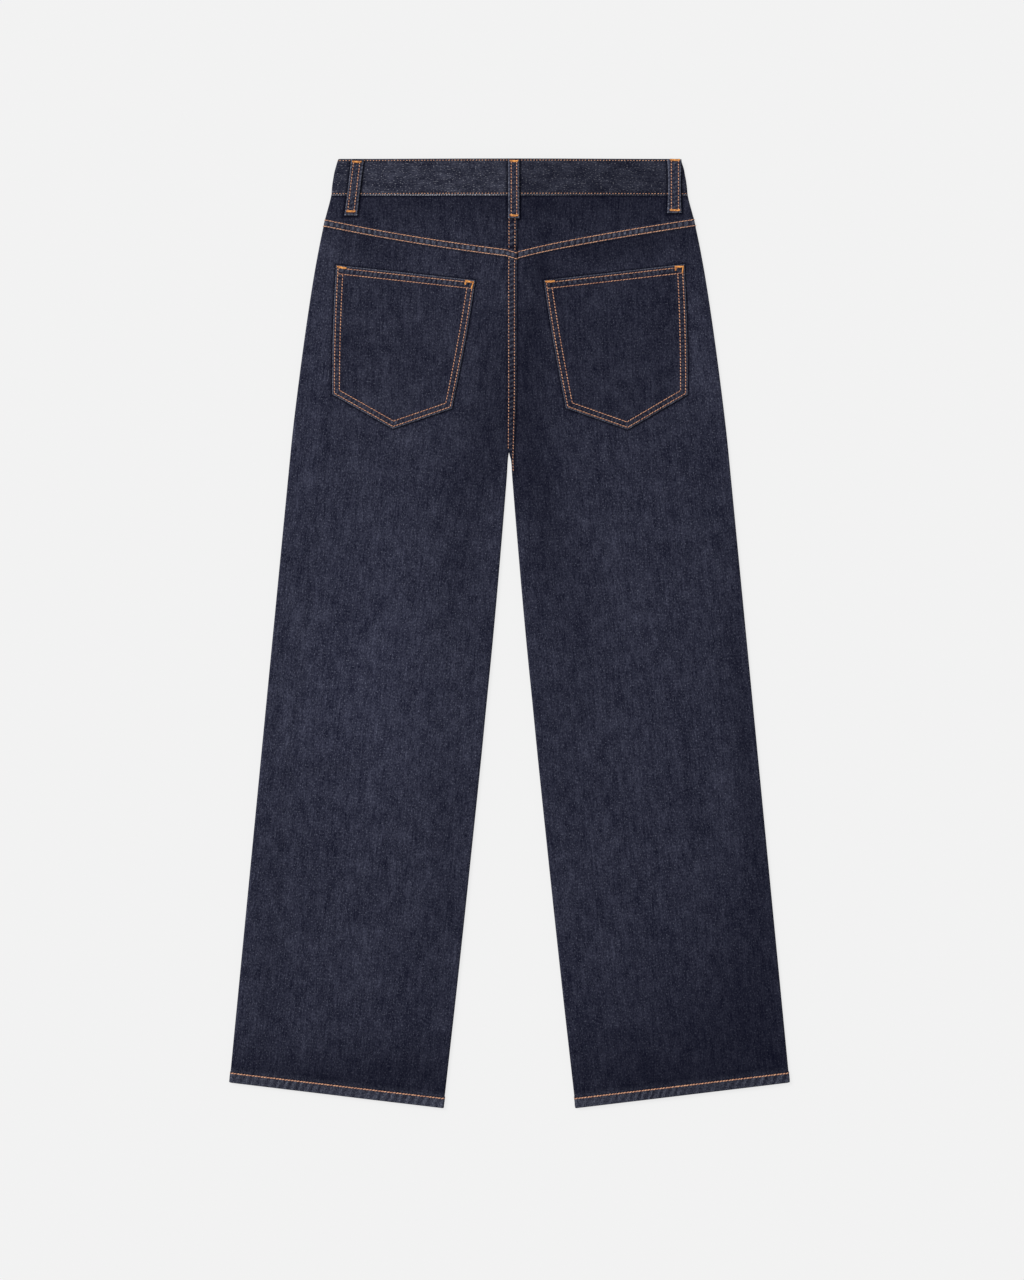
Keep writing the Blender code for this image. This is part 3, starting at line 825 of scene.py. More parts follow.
@dataclass(frozen=True)
class MetalFinish(Finish):
    """A metal with a patina in patches."""

    light: Colour
    dull: Colour

    def dress(self, graph: Graph, shader: bpy.types.Node) -> None:
        """Wire the patina, which dulls the metal and roughens it.

        Args:
            graph: The material's nodes.
            shader: Its Principled shader.
        """
        patchy = graph.patches(700.0, 3.0)
        colour = graph.mix(graph.ramp(patchy, -0.15, 0.20), rgba(self.dull), rgba(self.light))
        graph.surface(shader, colour, patchy, (0.25, 0.0001))
        graph.fill(shader, {"Roughness": graph.line(patchy, -0.4, 0.36), "Metallic": 1.0})


@dataclass(frozen=True)
class TapeFinish(Finish):
    """A plain woven tape: ribs across it and a fine weave."""

    deep: Colour
    pale: Colour
    rib: float = 0.0008
    yarn: float = 0.0006

    def dress(self, graph: Graph, shader: bpy.types.Node) -> None:
        """Wire the weave, a product of two sines, and some noise.

        Args:
            graph: The material's nodes.
            shader: Its Principled shader.
        """
        cloth = graph.cloth()
        axes = graph.node("SeparateXYZ", {0: cloth}).outputs
        ribs = graph.math("SINE", graph.times(axes[1], 2.0 * math.pi / self.rib))
        yarns = graph.math("SINE", graph.times(axes[0], 2.0 * math.pi / self.yarn))
        weave = graph.line(graph.times(ribs, yarns), 0.35, 0.5)
        weave = graph.math("ADD", weave, graph.cells(cloth, 0.0012, 0.0012, 2.0))
        colour = graph.mix(weave, rgba(self.deep), rgba(self.pale))
        graph.surface(shader, colour, weave, (0.5, 0.0001))
        graph.fill(shader, {"Roughness": 0.85})


DENIM = DenimFinish(
    "denim_face", (0.0005, 0.0009, 0.0084), (0.0515, 0.0545, 0.0850), undyed=(0.29, 0.31, 0.39)
)
BAND_DENIM = DenimFinish(
    "band_denim_face",
    (0.0032, 0.0038, 0.0120),
    (0.0560, 0.0590, 0.0850),
    undyed=(0.62, 0.63, 0.70),
    grain=1.05,
    slub=0.9,
    haze=1.6,
)
DENIM_REVERSE = DenimFinish(
    "denim_reverse", (0.060, 0.064, 0.090), (0.330, 0.340, 0.380), grain=0.8, slub=0.5
)
TOPSTITCH = ThreadFinish("topstitch_thread", (0.26, 0.098, 0.064), (0.76, 0.42, 0.245), (0.145, 0.042, 0.038))
TACK_THREAD = ThreadFinish("bartack_thread", (0.24, 0.070, 0.018), (1.00, 0.44, 0.10), (0.30, 0.10, 0.03))
ZIP_TAPE = TapeFinish("zip_tape_weave", (0.010, 0.010, 0.014), (0.035, 0.035, 0.042))
BRASS = MetalFinish("aged_brass", (0.62, 0.40, 0.20), (0.26, 0.15, 0.07))
ZIP_METAL = MetalFinish("zip_brass", (0.66, 0.46, 0.24), (0.30, 0.19, 0.09))


# ------------------------------------------------------------------ surfaces and shells


MASKS = ("wear", "shade", "gap", "row")


@dataclass
class Skin:
    """One side of a cloth piece: a grid of points with the finish of each.

    points is (rows, columns, 3). cloth is (rows, columns, 2), the place on the flat cloth in
    metres, whose second axis is the warp. wear is how far the cloth is paled, by worn dye and
    by painted highlight, and shade how much paler or deeper it is, by dye and by painted shade
    and light. gap is the distance to a piece that stands on this one, and row that to a row of
    stitches; the cloth takes painted shadow near both.
    """

    points: Array
    cloth: Array
    wear: Array | float = 0.0
    shade: Array | float = 0.0
    gap: Array | float = FAR
    row: Array | float = FAR

    def __post_init__(self) -> None:
        """Spread single values over the grid."""
        for mask in MASKS:
            setattr(self, mask, np.broadcast_to(getattr(self, mask), self.points.shape[:2]))

    def pick(self, rows: Array, columns: Array) -> "Skin":
        """The same skin at fewer rows and columns."""
        grid = np.ix_(rows, columns)
        return Skin(self.points[grid], self.cloth[grid], *(getattr(self, mask)[grid] for mask in MASKS))


def place(x: Array, drop: Array, z: Array) -> Array:
    """Points in space from x, drop and height."""
    return np.stack(np.broadcast_arrays(x, WAIST_Y - np.asarray(drop), z), axis=-1)


def on_cloth(x: Array, drop: Array, lean: float) -> Array:
    """Place on the flat cloth when the warp leans by an angle in degrees: the plane turned by it.

    Args:
        x: Places across the garment.
        drop: Drops below the waist edge.
        lean: Degrees by which the warp leans.

    Returns:
        Place along the weft and along the warp.
    """
    turn = math.radians(lean)
    x, up = np.broadcast_arrays(x, -np.asarray(drop))
    weft = x * math.cos(turn) + up * math.sin(turn)
    warp = up * math.cos(turn) - x * math.sin(turn)
    return np.stack((weft, warp), axis=-1)


def coarse_picks(count: int, step: int = COARSE, also: Sequence[int] = ()) -> Array:
    """Numbers of the lines that the coarse side keeps: every step-th, the last, and some named."""
    picks = np.concatenate((np.arange(0, count, step), [count - 1], np.array(also, dtype=int)))
    return np.unique(picks)


def grid_faces(index: Array) -> Array:
    """Quads of a grid of point numbers, each listed round its corners."""
    corners = (index[:-1, :-1], index[:-1, 1:], index[1:, 1:], index[1:, :-1])
    return np.stack(corners, axis=-1).reshape(-1, 4)


def rim_faces(dense: Array, coarse: Array, picks: Array) -> Array:
    """Triangles between a dense line of points and the coarse line beside it.

    Args:
        dense: Point numbers along the dense line.
        coarse: Point numbers along the coarse line.
        picks: Position on the dense line of each coarse point.

    Returns:
        One triangle for each dense step, which goes to the nearest coarse point, and one for
        each coarse step, at the place where the nearest point changes.
    """
    middles = np.arange(len(dense) - 1) + 0.5
    nearest = np.abs(middles[:, None] - picks[None, :]).argmin(axis=1)
    change = np.searchsorted(nearest, np.arange(1, len(picks)))
    return np.concatenate((
        np.stack((dense[:-1], dense[1:], coarse[nearest]), axis=1),
        np.stack((dense[change], coarse[1:], coarse[:-1]), axis=1),
    ))


def add_mesh(
    name: str,
    points: Array,
    faces: Sequence[Array],
    materials: Sequence[bpy.types.Material],
    cloth: Array | None = None,
    masks: dict[str, Array] | None = None,
    slots: Array | None = None,
) -> Piece:
    """Put a mesh in the scene, shaded smooth between its sharp edges.

    Args:
        name: The piece's name.
        points: (n, 3) places of its points.
        faces: Arrays of faces, all quads or all triangles in one array.
        materials: Its materials.
        cloth: (n, 2) place of each point on the flat cloth, for the UV map.
        masks: Values of each point by the name of their attribute.
        slots: Number of the material of each face.

    Returns:
        The new object, riding on the root body.
    """
    corners = np.concatenate([block.ravel() for block in faces]).astype(np.int32)
    sizes = np.concatenate([np.full(len(block), block.shape[1]) for block in faces])
    starts = np.concatenate(([0], np.cumsum(sizes)[:-1])).astype(np.int32)
    mesh = bpy.data.meshes.new(name)
    mesh.vertices.add(len(points))
    mesh.vertices.foreach_set("co", points.astype(np.float32).ravel())
    mesh.loops.add(len(corners))
    mesh.loops.foreach_set("vertex_index", corners)
    mesh.polygons.add(len(sizes))
    mesh.polygons.foreach_set("loop_start", starts)
    mesh.update(calc_edges=True)
    if cloth is not None:
        spots = cloth[corners].astype(np.float32)
        mesh.uv_layers.new(name="cloth").data.foreach_set("uv", spots.ravel())
    for title, values in (masks or {}).items():
        layer = mesh.attributes.new(title, "FLOAT", "POINT")
        layer.data.foreach_set("value", values.astype(np.float32).ravel())
    for material in materials:
        mesh.materials.append(material)
    if slots is not None:
        mesh.polygons.foreach_set("material_index", slots.astype(np.int32))
    mesh.shade_smooth()
    mesh.set_sharp_from_angle(angle=math.radians(SHARP))
    mesh.validate()
    made = bpy.data.objects.new(name, mesh)
    bpy.context.scene.collection.objects.link(made)
    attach(made, "root")
    log.info("%s: %d points, %d faces", name, len(points), len(sizes))
    return made


def outward(points: Array, faces: Sequence[Array]) -> list[Array]:
    """Make faces point outwards.

    Args:
        points: (n, 3) places of the points.
        faces: Arrays of faces that enclose a volume together.

    Returns:
        The faces, turned over if the signed volume that they enclose is below zero.
    """
    volume = 0.0
    for block in faces:
        first = points[block[:, 0]]
        for k in range(1, block.shape[1] - 1):
            normal = np.cross(points[block[:, k]], points[block[:, k + 1]])
            volume += np.einsum("ij,ij->", first, normal)
    return list(faces) if volume > 0.0 else [block[:, ::-1] for block in faces]


def shell(
    name: str,
    outer: Skin,
    inner: Skin,
    rows: Array,
    columns: Array,
    materials: Sequence[bpy.types.Material],
) -> Piece:
    """Close the two sides of a cloth piece into one shell.

    Args:
        name: The piece's name.
        outer: The dense side.
        inner: The coarse side.
        rows: Rows of the dense side that the coarse side keeps.
        columns: Columns of the dense side that the coarse side keeps.
        materials: Material of the dense side, then that of the coarse one if it differs.

    Returns:
        The piece.
    """
    high, wide = outer.wear.shape
    top = np.arange(high * wide).reshape(high, wide)
    low = np.arange(len(rows) * len(columns)).reshape(len(rows), len(columns)) + top.size
    rims = (
        rim_faces(top[0, ::-1], low[0, ::-1], wide - 1 - columns[::-1]),
        rim_faces(top[:, 0], low[:, 0], rows),
        rim_faces(top[-1, :], low[-1, :], columns),
        rim_faces(top[::-1, -1], low[::-1, -1], high - 1 - rows[::-1]),
    )
    faces = [grid_faces(top), grid_faces(low)[:, ::-1], np.concatenate(rims)]
    points = np.concatenate((outer.points.reshape(-1, 3), inner.points.reshape(-1, 3)))
    second = [k == 1 and len(materials) > 1 for k in range(len(faces))]
    slots = np.concatenate([np.full(len(block), number) for block, number in zip(faces, second)])
    cloth = np.concatenate((outer.cloth.reshape(-1, 2), inner.cloth.reshape(-1, 2)))
    masks = {mask: np.concatenate([getattr(side, mask).ravel() for side in (outer, inner)]) for mask in MASKS}
    return add_mesh(name, points, outward(points, faces), materials, cloth, masks, slots)


def patch(name: str, outer: Skin, low: Array, steps: tuple[int, int], finish: Finish = DENIM) -> Piece:
    """Close a piece that is sewn onto others: its face over a coarse underside.

    Args:
        name: The piece's name.
        outer: Its dense face.
        low: (rows, columns, 3) places of its underside beneath the points of its face.
        steps: How many rows, and how many columns, of the face go to one of the underside.
        finish: The finish of both sides.

    Returns:
        The piece.
    """
    rows, columns = (coarse_picks(count, step) for count, step in zip(low.shape, steps))
    inner = outer.pick(rows, columns)
    inner.points = low[np.ix_(rows, columns)]
    return shell(name, outer, inner, rows, columns, (finish.material(),))


def panel(name: str, outer: Skin, inner: Skin) -> Piece:
    """Close a panel whose inner side shows the reverse of the denim.

    Args:
        name: The piece's name.
        outer: Its dense outer side.
        inner: Its inner side at the same rows and columns, of which a part is kept.

    Returns:
        The piece.
    """
    rows, columns = (coarse_picks(count) for count in outer.wear.shape)
    sides = (DENIM.material(), DENIM_REVERSE.material())
    return shell(name, outer, inner.pick(rows, columns), rows, columns, sides)


@dataclass
class Rows:
    """Lines across one half of the garment, from its inner edge to its outseam.

    inner and outer are the drops at the two ends, bend the share of the yoke seam's bend that a
    row follows, and roll the share of a half turn that the inner edge has made round the leg.
    """

    seam: YokeSeam
    inner: Array
    outer: Array
    bend: Array
    roll: Array

    def drop(self, share: Array) -> Array:
        """Drop at a share of the way across: a straight line plus its bend.

        Args:
            share: Shares of the way across.

        Returns:
            The drop of every row there.
        """
        share = np.clip(share, 0.0, 1.0)
        straight = self.inner[:, None] + (self.outer - self.inner)[:, None] * share
        return straight + self.bend[:, None] * self.seam.bend(share)

    @classmethod
    def down_leg(cls, half: Half, inner: Array) -> "Rows":
        """Rows of a leg from their drops at the inner edge.

        Args:
            half: Which half.
            inner: Drops at the inner edge.

        Returns:
            The rows.
        """
        seam = YOKE_SEAMS[half]
        ends = np.array(((seam.inner, seam.outer),) + ROW_ENDS)
        turns = np.array(INNER_ROLL)
        straightening = np.clip((ROW_ENDS[0][0] - inner) / (ROW_ENDS[0][0] - seam.inner), 0.0, 1.0)
        return cls(
            seam,
            inner,
            np.interp(inner, ends[:, 0], ends[:, 1]),
            straightening,
            np.interp(inner, turns[:, 0], turns[:, 1]),
        )

    @classmethod
    def down_yoke(cls, half: Half, share: Array) -> "Rows":
        """Rows of a yoke, from the waistband at share 0 to its lower edge at share 1.

        Args:
            half: Which half.
            share: Shares of the way down the yoke.

        Returns:
            The rows.
        """
        seam = YOKE_SEAMS[half]
        top = BAND_HEIGHT - YOKE_TUCK
        return cls(
            seam,
            top + (seam.inner - SEAM_GAP - top) * share,
            top + (seam.outer - SEAM_GAP - top) * share,
            share,
            0.0 * share,
        )


@dataclass
class Wrap:
    """The outer face of a back panel along rows: places, outward directions and cloth distance.

    x counts from the centre line on either half. across is the distance along the cloth, which
    equals x in the middle of the panel.
    """

    half: Half
    x: Array
    drop: Array
    z: Array
    out_x: Array
    out_z: Array
    across: Array
    top: slice             # the columns that lie on top, between the two rolls

    @classmethod
    def round_leg(cls, half: Half, rows: Rows, steps: tuple[int, int, int, int, int]) -> "Wrap":
        """Carry the panel round a leg.

        Args:
            half: Which half.
            rows: The rows across it.
            steps: Steps in the outer lip, the outer roll, the top, the inner roll and its lip.

        Returns:
            The panel from its lip under the outseam, round a half circle as high as the cloth
            there, over the top, and round the inner roll, an arc of the row's share of a half
            turn, into the inner lip, which is straight.
        """
        lip_steps, arc_steps, top_steps, roll_steps, last_steps = steps
        sign = half.value
        x_in = edge(INSEAM, rows.inner)[:, None]
        x_out = edge(OUTSEAM, rows.outer)[:, None]
        radius = back_height(sign * (x_out - EDGE_HEIGHT / 2), rows.outer[:, None]) / 2
        angle = np.linspace(-math.pi / 2, math.pi / 2, arc_steps + 1)[None, :]
        lip_x = x_out - LIP_OUT + (LIP_OUT - radius) * np.linspace(0.0, 1.0, lip_steps + 1)[None, :-1]
        arc_x = x_out - radius + radius * np.cos(angle)

        top = back_height(sign * (x_in + MIN_ROLL), rows.inner[:, None])
        turn = rows.roll[:, None] * math.pi
        length = np.maximum(turn * top / 2, MIN_ROLL)
        along = np.linspace(0.0, 1.0, roll_steps + 1)[None, :]
        turned = along * turn
        roll_x = -length * along * np.sinc(turned / math.pi)
        roll_z = top - length * along * (turned / 2) * np.sinc(turned / 2 / math.pi) ** 2
        reach = np.interp(rows.roll, (0.75, 1.0), (LIP_ROLLING, LIP_IN))[:, None]
        last = reach * np.linspace(0.0, 1.0, last_steps + 1)[None, 1:]
        roll_x = np.concatenate((roll_x, roll_x[:, -1:] - last * np.cos(turn)), axis=1)
        roll_z = np.concatenate((roll_z, roll_z[:, -1:] - last * np.sin(turn)), axis=1)
        turned = np.concatenate((turned, np.repeat(turn, last_steps, axis=1)), axis=1)
        roll_x += x_in - roll_x.min(axis=1, keepdims=True)
        roll_z = np.maximum(roll_z, 0.0)

        inward = np.linspace(0.0, 1.0, top_steps + 1)[None, 1:-1]
        top_x = x_out - radius + (roll_x[:, :1] - x_out + radius) * inward
        x = np.concatenate((lip_x, arc_x, top_x, roll_x), axis=1)
        drop = rows.drop((x - x_in) / (x_out - x_in))
        first = lip_steps + arc_steps + 1
        on_top = slice(first, first + top_steps - 1)
        top_z = back_height(sign * top_x, drop[:, on_top])
        flat = np.zeros(lip_x.shape)
        level = np.zeros(top_x.shape)
        around = np.broadcast_to(angle, arc_x.shape)
        z = np.concatenate((flat, radius + radius * np.sin(around), top_z, roll_z), axis=1)
        out_x = np.concatenate((flat, np.cos(around), level, -np.sin(turned)), axis=1)
        out_z = np.concatenate((flat - 1.0, np.sin(around), level + 1.0, np.cos(turned)), axis=1)
        walked = np.cumsum(np.hypot(np.diff(x, axis=1), np.diff(z, axis=1)), axis=1)
        walked = np.concatenate((np.zeros((len(x), 1)), walked), axis=1)
        middle = first + top_steps // 2
        across = x[:, middle:middle + 1] + walked[:, middle:middle + 1] - walked
        return cls(half, x, drop, z, out_x, out_z, across, on_top)

    @property
    def out(self) -> Array:
        """Outward direction at every point."""
        return np.stack((self.half.value * self.out_x, 0.0 * self.x, self.out_z), axis=-1)

    def points(self, lift: Array | float = 0.0) -> Array:
        """Points in space, moved outwards by a lift."""
        return place(self.half.value * (self.x + self.out_x * lift), self.drop, self.z + self.out_z * lift)

    def skin(self, lift: Array | float, lean: float, **masks: Array | float) -> Skin:
        """The side of the cloth that is lifted by so much, with the warp's lean and its masks.

        Args:
            lift: How far it is lifted.
            lean: Degrees by which the warp leans.
            **masks: Masks by their names.

        Returns:
            The skin.
        """
        sign = self.half.value
        cloth = on_cloth(sign * self.across, self.drop, sign * lean)
        return Skin(self.points(lift), cloth, shade=dye_and_painted_shading(sign * self.x, self.drop), **masks)


# ------------------------------------------------------------------ stitching


@dataclass(frozen=True)
class Look:
    """How a row of stitches shows: the share of each stitch above the cloth, and its lean."""

    shown: float
    lean: float
    width: float = 0.00098
    height: float = 0.00050
    pitch: float = STITCH
    sinking: float = 0.62    # how far its ends go down, as a share of its height
    bright: float = 1.0      # how much longer its bright middle is than a usual stitch's


DOTTED = Look(shown=1.04, lean=12.0, width=0.00100, sinking=0.50)
ROPE = Look(shown=1.26, lean=11.0, width=0.00098, sinking=0.18, bright=2.25)
POCKET_ROPE = Look(shown=1.26, lean=11.0, width=0.00080, sinking=0.30, bright=1.35)
HEM_THREAD = Look(shown=1.26, lean=14.0, width=0.00120, sinking=0.28, bright=1.55)
BAND_ROW = Look(shown=0.64, lean=12.0, width=0.00082, height=0.00040)
BENEATH = Look(shown=0.68, lean=7.0, width=0.00085, height=0.00033)
TACK = Look(shown=1.0, lean=0.0, width=0.00074, height=0.00062)
TACK_BENEATH = replace(TACK, height=0.00034)
TEETH = Look(shown=1.0, lean=0.0, width=0.0017, height=0.0012)
TACK_PITCH = 0.00052       # from one stitch of a bartack to the next
TACK_SLANT = 0.30          # how far its stitches slant, to one side and the other in turn

BEAD_RINGS = (-0.72, 0.0, 0.72)
BEAD_SIDES = 6
BEAD_TAPER = 0.85          # how much thinner a stitch is at its ends, as a share of its area
BEAD_SEAT = 0.36           # how far a stitch's middle lies above the cloth, in heights
WANDER = 0.05              # how far stitches stray along their row, in pitches


def walk(line: Array) -> Array:
    """Distance along a line of points to each of its points."""
    steps = np.linalg.norm(np.diff(line, axis=0), axis=1)
    return np.concatenate(([0.0], np.cumsum(steps)))


def along_line(line: Array, values: Array, distances: Array) -> Array:
    """Read values along a line of points, by straight steps between its points.

    Args:
        line: (n, 3) points.
        values: (n, k) values at the points.
        distances: (m,) distances along the line.

    Returns:
        (m, k) values at the distances.
    """
    walked = walk(line)
    return np.stack([np.interp(distances, walked, column) for column in values.T], axis=-1)


def unit(vectors: Array) -> Array:
    """The vectors at length one."""
    return vectors / np.maximum(np.linalg.norm(vectors, axis=-1, keepdims=True), 1e-12)


class Stitching:
    """Gathers stitches and makes one mesh of them.

    A stitch is a small grain of thread: rings of six points that follow a circle's arc up and
    down, between two pointed ends that sink into the cloth.
    """

    def __init__(self, name: str, finish: ThreadFinish) -> None:
        """Start with no stitches.

        Args:
            name: Name of the piece.
            finish: The thread.
        """
        self.name = name
        self.finish = finish
        self.points: list[Array] = []
        self.cloth: list[Array] = []
        self.count = 0

    def row(self, line: Array, look: Look, up: Array | Spot = UP) -> None:
        """Sew a row of stitches.

        Args:
            line: (n, 3) points along the row, on the cloth.
            look: How the stitches show.
            up: Outward direction of the cloth, one for the row or one for each point.
        """
        length = walk(line)[-1]
        number = max(int(round(length / look.pitch)), 1)
        pitch = length / number
        middles = (np.arange(number) + 0.5) * pitch
        wander = WANDER * pitch * np.sin(np.arange(number) * 2.399 + len(self.points))
        centre = along_line(line, line, middles + wander)
        before = along_line(line, line, np.maximum(middles - pitch / 2, 0.0))
        after = along_line(line, line, np.minimum(middles + pitch / 2, length))
        ups = along_line(line, np.broadcast_to(up, line.shape), middles)
        self.stitch(centre, after - before, ups, look, pitch)

    def beneath(self, x: Array, drop: Array, side: float = 1.0) -> None:
        """Sew a row on the underside of the front; side is 1 or -1, and turns x about the centre."""
        self.row(place(side * x, drop, front_height(x, drop)), BENEATH, DOWN)

    def stitch(self, centre: Array, along: Array, up: Array, look: Look, pitch: float) -> None:
        """Add stitches.

        Args:
            centre: (n, 3) middles of the stitches.
            along: (n, 3) directions in which they point.
            up: (n, 3) outward directions of the cloth.
            look: How they show.
            pitch: Distance from one to the next.
        """
        up = unit(up)
        along = unit(along - up * np.sum(along * up, axis=1, keepdims=True))
        side = np.cross(up, along)
        uneven = (1.0 + 0.35 * np.sin(np.arange(len(centre)) * 1.7))[:, None]
        lean = math.radians(look.lean) * uneven
        cos, sin = np.cos(lean), np.sin(lean)
        along, side = along * cos + side * sin, side * cos - along * sin
        half_length = pitch * look.shown / 2
        places = np.array((-1.0,) + tuple(np.repeat(BEAD_RINGS, BEAD_SIDES)) + (1.0,))
        angles = np.tile(np.arange(BEAD_SIDES) * 2.0 * math.pi / BEAD_SIDES, len(BEAD_RINGS))
        girth = np.sqrt(1.0 - places**2 * BEAD_TAPER)
        girth[[0, -1]] = 0.0
        angles = np.concatenate(([0.0], angles, [0.0]))
        sideways = girth * np.cos(angles) * look.width / 2
        sunk = look.height * (BEAD_SEAT - look.sinking * places**2)
        upwards = girth * np.sin(angles) * look.height / 2 + sunk
        points = (
            centre[:, None, :]
            + along[:, None, :] * (places * half_length)[None, :, None]
            + side[:, None, :] * sideways[None, :, None]
            + up[:, None, :] * upwards[None, :, None]
        )
        spots = np.stack((places * half_length / look.bright, angles / (2.0 * math.pi)), axis=-1)
        self.points.append(points.reshape(-1, 3))
        self.cloth.append(np.tile(spots, (len(centre), 1)))
        self.count += len(centre)

    def bar(self, start: Array, end: Array, width: float, up: Spot = UP) -> None:
        """Sew a bartack: close stitches straight across it over a low core.

        Args:
            start: Where it begins.
            end: Where it ends.
            width: Length of its stitches.
            up: Outward direction of the cloth.
        """
        look = TACK if up == UP else TACK_BENEATH
        line = np.stack((start, end))
        direction = unit(end - start)
        across = np.cross(up, direction)
        length = float(np.linalg.norm(end - start))
        number = max(int(length / TACK_PITCH), 4)
        steps = np.arange(number)
        middles = np.linspace(0.0, length, number)
        wobble = 0.00018 * np.sin(steps * 2.1 + 40.0 * length) + 0.00038 * np.sin(steps * 5.2 / number + 1.0)
        centre = along_line(line, line, middles) + across * wobble[:, None]
        slant = TACK_SLANT * (steps % 2 * 2 - 1)[:, None]
        ups = np.broadcast_to(up, centre.shape)
        self.stitch(centre + ups * LIFT, across + direction * slant, ups, look, width)
        core = replace(look, width=width * 0.8)
        middle = slice(number // 2, number // 2 + 1)
        self.stitch(centre[middle], direction[None, :], ups[:1], core, length)

    def build(self) -> Piece:
        """Make the mesh of all the stitches.

        Returns:
            The piece.
        """
        rings = len(BEAD_RINGS)
        ring = 1 + np.arange(rings * BEAD_SIDES).reshape(rings, BEAD_SIDES)
        following = np.roll(ring, -1, axis=1)
        quads = np.stack((ring[:-1], following[:-1], following[1:], ring[1:]), axis=-1).reshape(-1, 4)
        last = rings * BEAD_SIDES + 1
        first_cap = np.stack((np.zeros(BEAD_SIDES, dtype=int), following[0], ring[0]), axis=-1)
        last_cap = np.stack((np.full(BEAD_SIDES, last), ring[-1], following[-1]), axis=-1)
        starts = (np.arange(self.count) * (last + 1))[:, None, None]
        tris = (np.concatenate((first_cap, last_cap))[None] + starts).reshape(-1, 3)
        quads = (quads[None] + starts).reshape(-1, 4)
        points = np.concatenate(self.points)
        faces = outward(points, (quads, tris))
        made = add_mesh(self.name, points, faces, (self.finish.material(),), np.concatenate(self.cloth))
        log.info("%s: %d stitches", self.name, self.count)
        return made


# ------------------------------------------------------------------ the centre back and yoke seams

LAP_RISE = 0.00085


class LapRow(NamedTuple):
    """The x across the centre back seam at one drop: where it swells, its two rows, its fold."""

    drop: float
    start: float
    left_row: float
    right_row: float
    fold: float


LAP = (
    LapRow(0.0380, -0.0026, -0.0004, 0.0060, 0.0085),
    LapRow(0.1000, -0.0026, -0.0005, 0.0058, 0.0084),
    LapRow(0.1240, -0.0032, -0.0008, 0.0053, 0.0079),
    LapRow(0.2550, -0.0032, -0.0008, 0.0053, 0.0077),
    LapRow(0.2840, -0.0031, -0.0010, 0.0047, 0.0066),
    LapRow(0.3030, -0.0026, -0.0011, 0.0042, 0.0056),
    LapRow(0.3150, -0.0018, -0.0012, 0.0039, 0.0053),
    LapRow(0.3280, 0.0016, 0.0016, 0.0035, 0.0050),
    LapRow(0.3430, 0.0035, 0.0036, 0.0042, 0.0050),
)


def lap_at(drop: Array) -> tuple[Array, Array, Array, Array]:
    """The x of the centre back seam's start, left row, right row and fold at a drop.

    It leans over below the yoke seam, and past the crotch it narrows on the inner edge of the
    right leg until it turns under with that edge.
    """
    drops, *columns = np.array(LAP).T
    return tuple(np.interp(drop, drops, column) for column in columns)


def lap_edges(drop: Array) -> tuple[Array, Array]:
    """The x of both sides of the centre back seam at a drop."""
    start, _, _, fold = lap_at(drop)
    return start, fold


def lap_rows(x: Array, drop: Array) -> Array:
    """Distance inwards from the nearest of the seam's two rows: positive between them."""
    _, left_row, right_row, _ = lap_at(drop)
    return np.minimum(x - left_row, right_row - x)


def row_tent(from_edge: Array, first: float, gauge: Array | float) -> Array:
    """Distance inwards from the nearest of two rows: positive between them, negative outside."""
    return gauge / 2 - np.abs(from_edge - first - gauge / 2)


def lap_pucker(x: Array, drop: Array) -> Array:
    """Puckers of the centre back seam, from -1 to 1: an uneven wave that leans."""
    return uneven_wave(drop + 0.35 * x, PUCKER_PITCH, 0.7)


def lap_rise(x: Array, drop: Array) -> Array:
    """Height of the centre back seam over the panels.

    Args:
        x: Places across the garment.
        drop: Drops below the waist edge.

    Returns:
        A ramp up from its soft side, a crown between its two rows of stitches, and a rounded
        fold on the wearer's right. It runs out past the crotch.
    """
    start, left_row, right_row, fold = lap_at(drop)
    width = fold - start
    share = np.clip((x - start) / width, 0.0, 1.0)
    ramp = 1.0 - fade(share, 0.0, 0.28)
    round_off = rounded(np.clip(fold - x, 0.0, 1.0), FOLD)
    groove = bell(lap_rows(x, drop), GROOVE)
    crown = hump(right_row - x, 0.0, right_row - left_row)
    pucker = 0.00018 * lap_pucker(x, drop) * crown
    inside = (x >= start) & (x <= fold)
    high = LAP_RISE * ramp * round_off + 0.00016 * crown - 0.00018 * groove + pucker
    ending = fade(drop, 0.322, 0.343)
    return np.where(inside, np.maximum(high, 0.0) * ending, 0.0)


def fell_rise(from_edge: Array, along: Array, start: float) -> Array:
    """Height of a felled seam over the cloth.

    Args:
        from_edge: Distance from its folded edge.
        along: Distance along it.
        start: Where its puckers begin in their wave.

    Returns:
        A rounded fold, a groove at each row of stitches, a crown between the rows that puckers
        unevenly, and a ramp down past the far row.
    """
    round_off = rounded(from_edge, FOLD)
    ramp = fade(from_edge, FELL_WIDTH - 0.0022, FELL_WIDTH)
    crown = hump(from_edge, SEAM_EDGE, ROW_GAUGE)
    groove = bell(row_tent(from_edge, SEAM_EDGE, ROW_GAUGE), GROOVE)
    pucker = fell_pucker(from_edge, along, start)
    return (0.00088 + 0.00014 * crown - 0.00022 * groove + 0.00034 * crown * pucker) * round_off * ramp


def fell_pucker(from_edge: Array, along: Array, start: float) -> Array:
    """Puckers of a felled seam, from -1 to 1: an uneven wave along it, flatter on its crests.

    Args:
        from_edge: Distances from the folded edge.
        along: Distances along it.
        start: Where they begin in their wave.

    Returns:
        The puckers.
    """
    broad = uneven_wave(along - 0.12 * from_edge, PUCKER_PITCH, start)
    wave = broad + 0.45 * uneven_wave(along, 0.0034, start + 1.0)
    return np.tanh(1.3 * wave + 0.25)


